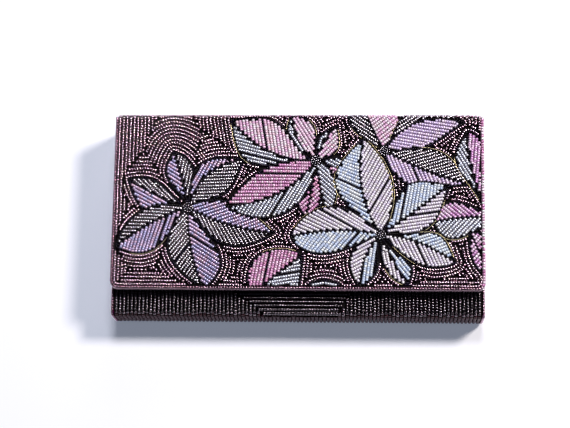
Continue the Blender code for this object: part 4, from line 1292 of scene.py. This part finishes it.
def liningCup():
    # The lining: rings of a rounded rectangle, up its outside from the floor to the rim and down its inside
    low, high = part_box("lining_bag")
    thickness, radius = 0.5 * mm, 2.2 * mm
    floor, half, near, far = low[1], high[0], low[2], high[2]
    middle = (near + far) / 2

    def ring(inset, y, puff):
        r = max(radius - inset, 0.2 * mm)
        points = []
        for cx, cz, start in ((-half + inset, near + inset, 180), (half - inset, near + inset, 270),
                              (half - inset, far - inset, 0), (-half + inset, far - inset, 90)):
            sx, sz = (1 if cx < 0 else -1), (1 if cz < middle else -1)
            points += [(cx + sx * r + r * math.cos(a), cz + sz * r + r * math.sin(a))
                       for a in np.radians(np.linspace(start, start + 90, 6))]
        x, z = evenly(np.array(points + points[:1]), (2 * math.pi * r + 4 * half) / 260)[0][:-1].T
        around = np.arange(len(x)) / len(x) * 2 * math.pi
        walls = np.sin(around * 19) * np.sin(y * 60) + np.sin(around * 7 + y * 90)
        pull = puff * 0.35 * mm * (0.5 + 0.25 * walls)
        z = z - np.sign(z - middle) * np.abs(pull) * (np.abs(z - middle) > 2 * mm)
        return np.stack([x, np.full(len(x), y), z], -1)

    levels = np.linspace(high[1] - 0.3 * mm, floor, 40)
    puffs = np.sin(np.pi * (levels - floor) / (high[1] - floor))
    sides = [[ring(inset, max(y, floor + inset), puff) for y, puff in zip(levels, puffs)]
             for inset in (0, thickness)]
    count = min(len(points) for rings in sides for points in rings)
    outer, inner = (np.array([points[np.linspace(0, len(points) - 1, count).astype(int)] for points in rings])
                    for rings in sides)
    loops = np.concatenate([outer[::-1], inner])
    return surfaceMesh("liningCup", loops.reshape(-1, 3), loopFaces(*loops.shape[:2]), liningSatin)


dress(liningCup(), "case", "lining_bag", "lining_satin", flat=(0.2217, 0.2330), held="folded",
      rests_on=["back_board", "bottom_board"])

pocket = dict(seam=5 * mm, puff=0.9 * mm, thickness=0.45 * mm)
low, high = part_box("slip_pocket")
u, v = np.meshgrid(np.linspace(0, 1, 50), np.linspace(0, 1, 34), indexing="ij")
rise = (np.clip(np.minimum(u, 1 - u) * (high[0] - low[0]) / pocket["seam"], 0, 1)
        * np.clip(v * (high[1] - low[1]) / pocket["seam"], 0, 1)) ** 0.5
z = low[2] + 0.02 * mm + rise * pocket["puff"] * (0.9 + 0.1 * np.sin(u * 17) * np.sin(v * 7))
grid = np.stack([low[0] + u * (high[0] - low[0]), low[1] + v * (high[1] - low[1]), z], -1)
patch = closedShell("slipPocket", (grid + np.array([0, 0, pocket["thickness"]]), grid), liningSatin)
dress(patch, "case", "slip_pocket", "lining_satin", flat=(0.110, 0.068), held="stretched",
      rests_on=["liningCup"])


def roll(name, node, radius, puff, box=None):
    # A rounded profile carried across the case, a little fuller between its stitches
    low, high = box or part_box(node)
    profile = []
    for cy, cz, start in ((high[1] - radius, high[2] - radius, 0), (low[1] + radius, high[2] - radius, 90),
                          (low[1] + radius, low[2] + radius, 180), (high[1] - radius, low[2] + radius, 270)):
        profile += [(cy + radius * math.cos(a), cz + radius * math.sin(a))
                    for a in np.radians(np.linspace(start, start + 90, 6))]
    xs = np.linspace(-high[0], high[0], 160)
    profile = np.array(profile)
    middle = profile.mean(0)
    swell = 1 - puff * (0.5 + 0.5 * np.cos(np.arange(len(xs)) * 2 * np.pi / 8))
    grid = middle + (profile - middle) * swell[:, None, None]
    points = np.concatenate([np.broadcast_to(xs[:, None, None], grid.shape[:2] + (1,)), grid], -1)
    piece = surfaceMesh(name, points.reshape(-1, 3), loopFaces(*points.shape[:2]), bindingSatin)
    dress(piece, "case", node, "lining_satin")


roll("mouthFacing", "mouth_facing", 1.3 * mm, 0.03)
roll("pocketBinding", "pocket_binding", 0.6 * mm, 0.08)
roll("backEdgeBinding", None, 0.2 * mm, 0.02,
     ((-103 * mm, 53.9 * mm, 2.65 * mm), (103 * mm, 54.4 * mm, 4.6 * mm)))
print("lining sewn")

# Floor: white, with a glow that only the camera and reflections see, so that it keeps the shadow
material, tree, shader, _ = newMaterial("matt_white_card")
feed(tree, shader, {"Base Color": linear(studio["floorColour"]), "Roughness": 0.9, "Specular IOR Level": 0.0})
rays = addNode(tree, "LightPath", {}).outputs
seen = addNode(tree, "Math", {0: rays["Is Camera Ray"], 1: rays["Is Glossy Ray"]}, operation="MAXIMUM")
seen = addNode(tree, "Math", {0: seen.outputs["Value"], 1: rays["Is Transmission Ray"]}, operation="MAXIMUM")
strength = addNode(tree, "Math", {0: seen.outputs["Value"], 1: studio["floorGlow"]}, operation="MULTIPLY")
glow = addNode(tree, "Emission", {"Color": linear(studio["glowColour"]),
                                  "Strength": strength.outputs["Value"]})
both = addNode(tree, "AddShader", {0: shader.outputs["BSDF"], 1: glow.outputs["Emission"]})
feed(tree, tree.nodes["Material Output"], {"Surface": both.outputs["Shader"]})
size = studio["floorSize"]
floorMesh = bpy.data.meshes.new("floor")
floorMesh.from_pydata([(x * size, y * size, -0.02 * mm) for x, y in ((-1, -1), (1, -1), (1, 1), (-1, 1))], [],
                      [(0, 1, 2, 3)])
floorMesh.materials.append(material)
addObject("floor", floorMesh)

for name, lamp in studio["lamps"].items():
    light = bpy.data.lights.new(name, "AREA")
    way = Vector(lamp["towards"]).normalized()
    light.shape, light.size = "DISK", lamp["size"]
    light.energy = lamp["level"] * (math.pi * lamp["distance"]) ** 2 / way.z
    light.color = linear(lamp["colour"])[:3]
    holder = addObject(name, light)
    holder.location = way * lamp["distance"]
    holder.rotation_euler = way.to_track_quat("Z", "Y").to_euler()

world = bpy.data.worlds.new("studio")
bpy.context.scene.world = world
world.use_nodes = True
background = world.node_tree.nodes["Background"]
background.inputs["Color"].default_value = linear(studio["skyColour"])
background.inputs["Strength"].default_value = studio["skyStrength"]

tip, turn, lean = view["tip"], view["turn"], view["roll"]
towards = Vector((math.sin(turn), -math.sin(tip) * math.cos(turn), math.cos(tip) * math.cos(turn)))
towards.normalize()
right = (-towards).cross(Vector((math.sin(lean), math.cos(lean), 0))).normalized()
up = right.cross(-towards)
camera = addObject("camera", bpy.data.cameras.new("camera"))
camera.data.lens, camera.data.sensor_width = view["focalLength"], view["sensorWidth"]
camera.data.sensor_fit = "HORIZONTAL"
turnMatrix = Matrix((right, up, towards)).transposed().to_4x4()
camera.matrix_world = Matrix.Translation(Vector(view["target"]) + towards * view["distance"]) @ turnMatrix
bpy.context.scene.camera = camera
bpy.context.scene.view_settings.view_transform = "Standard"

print("scene ready")
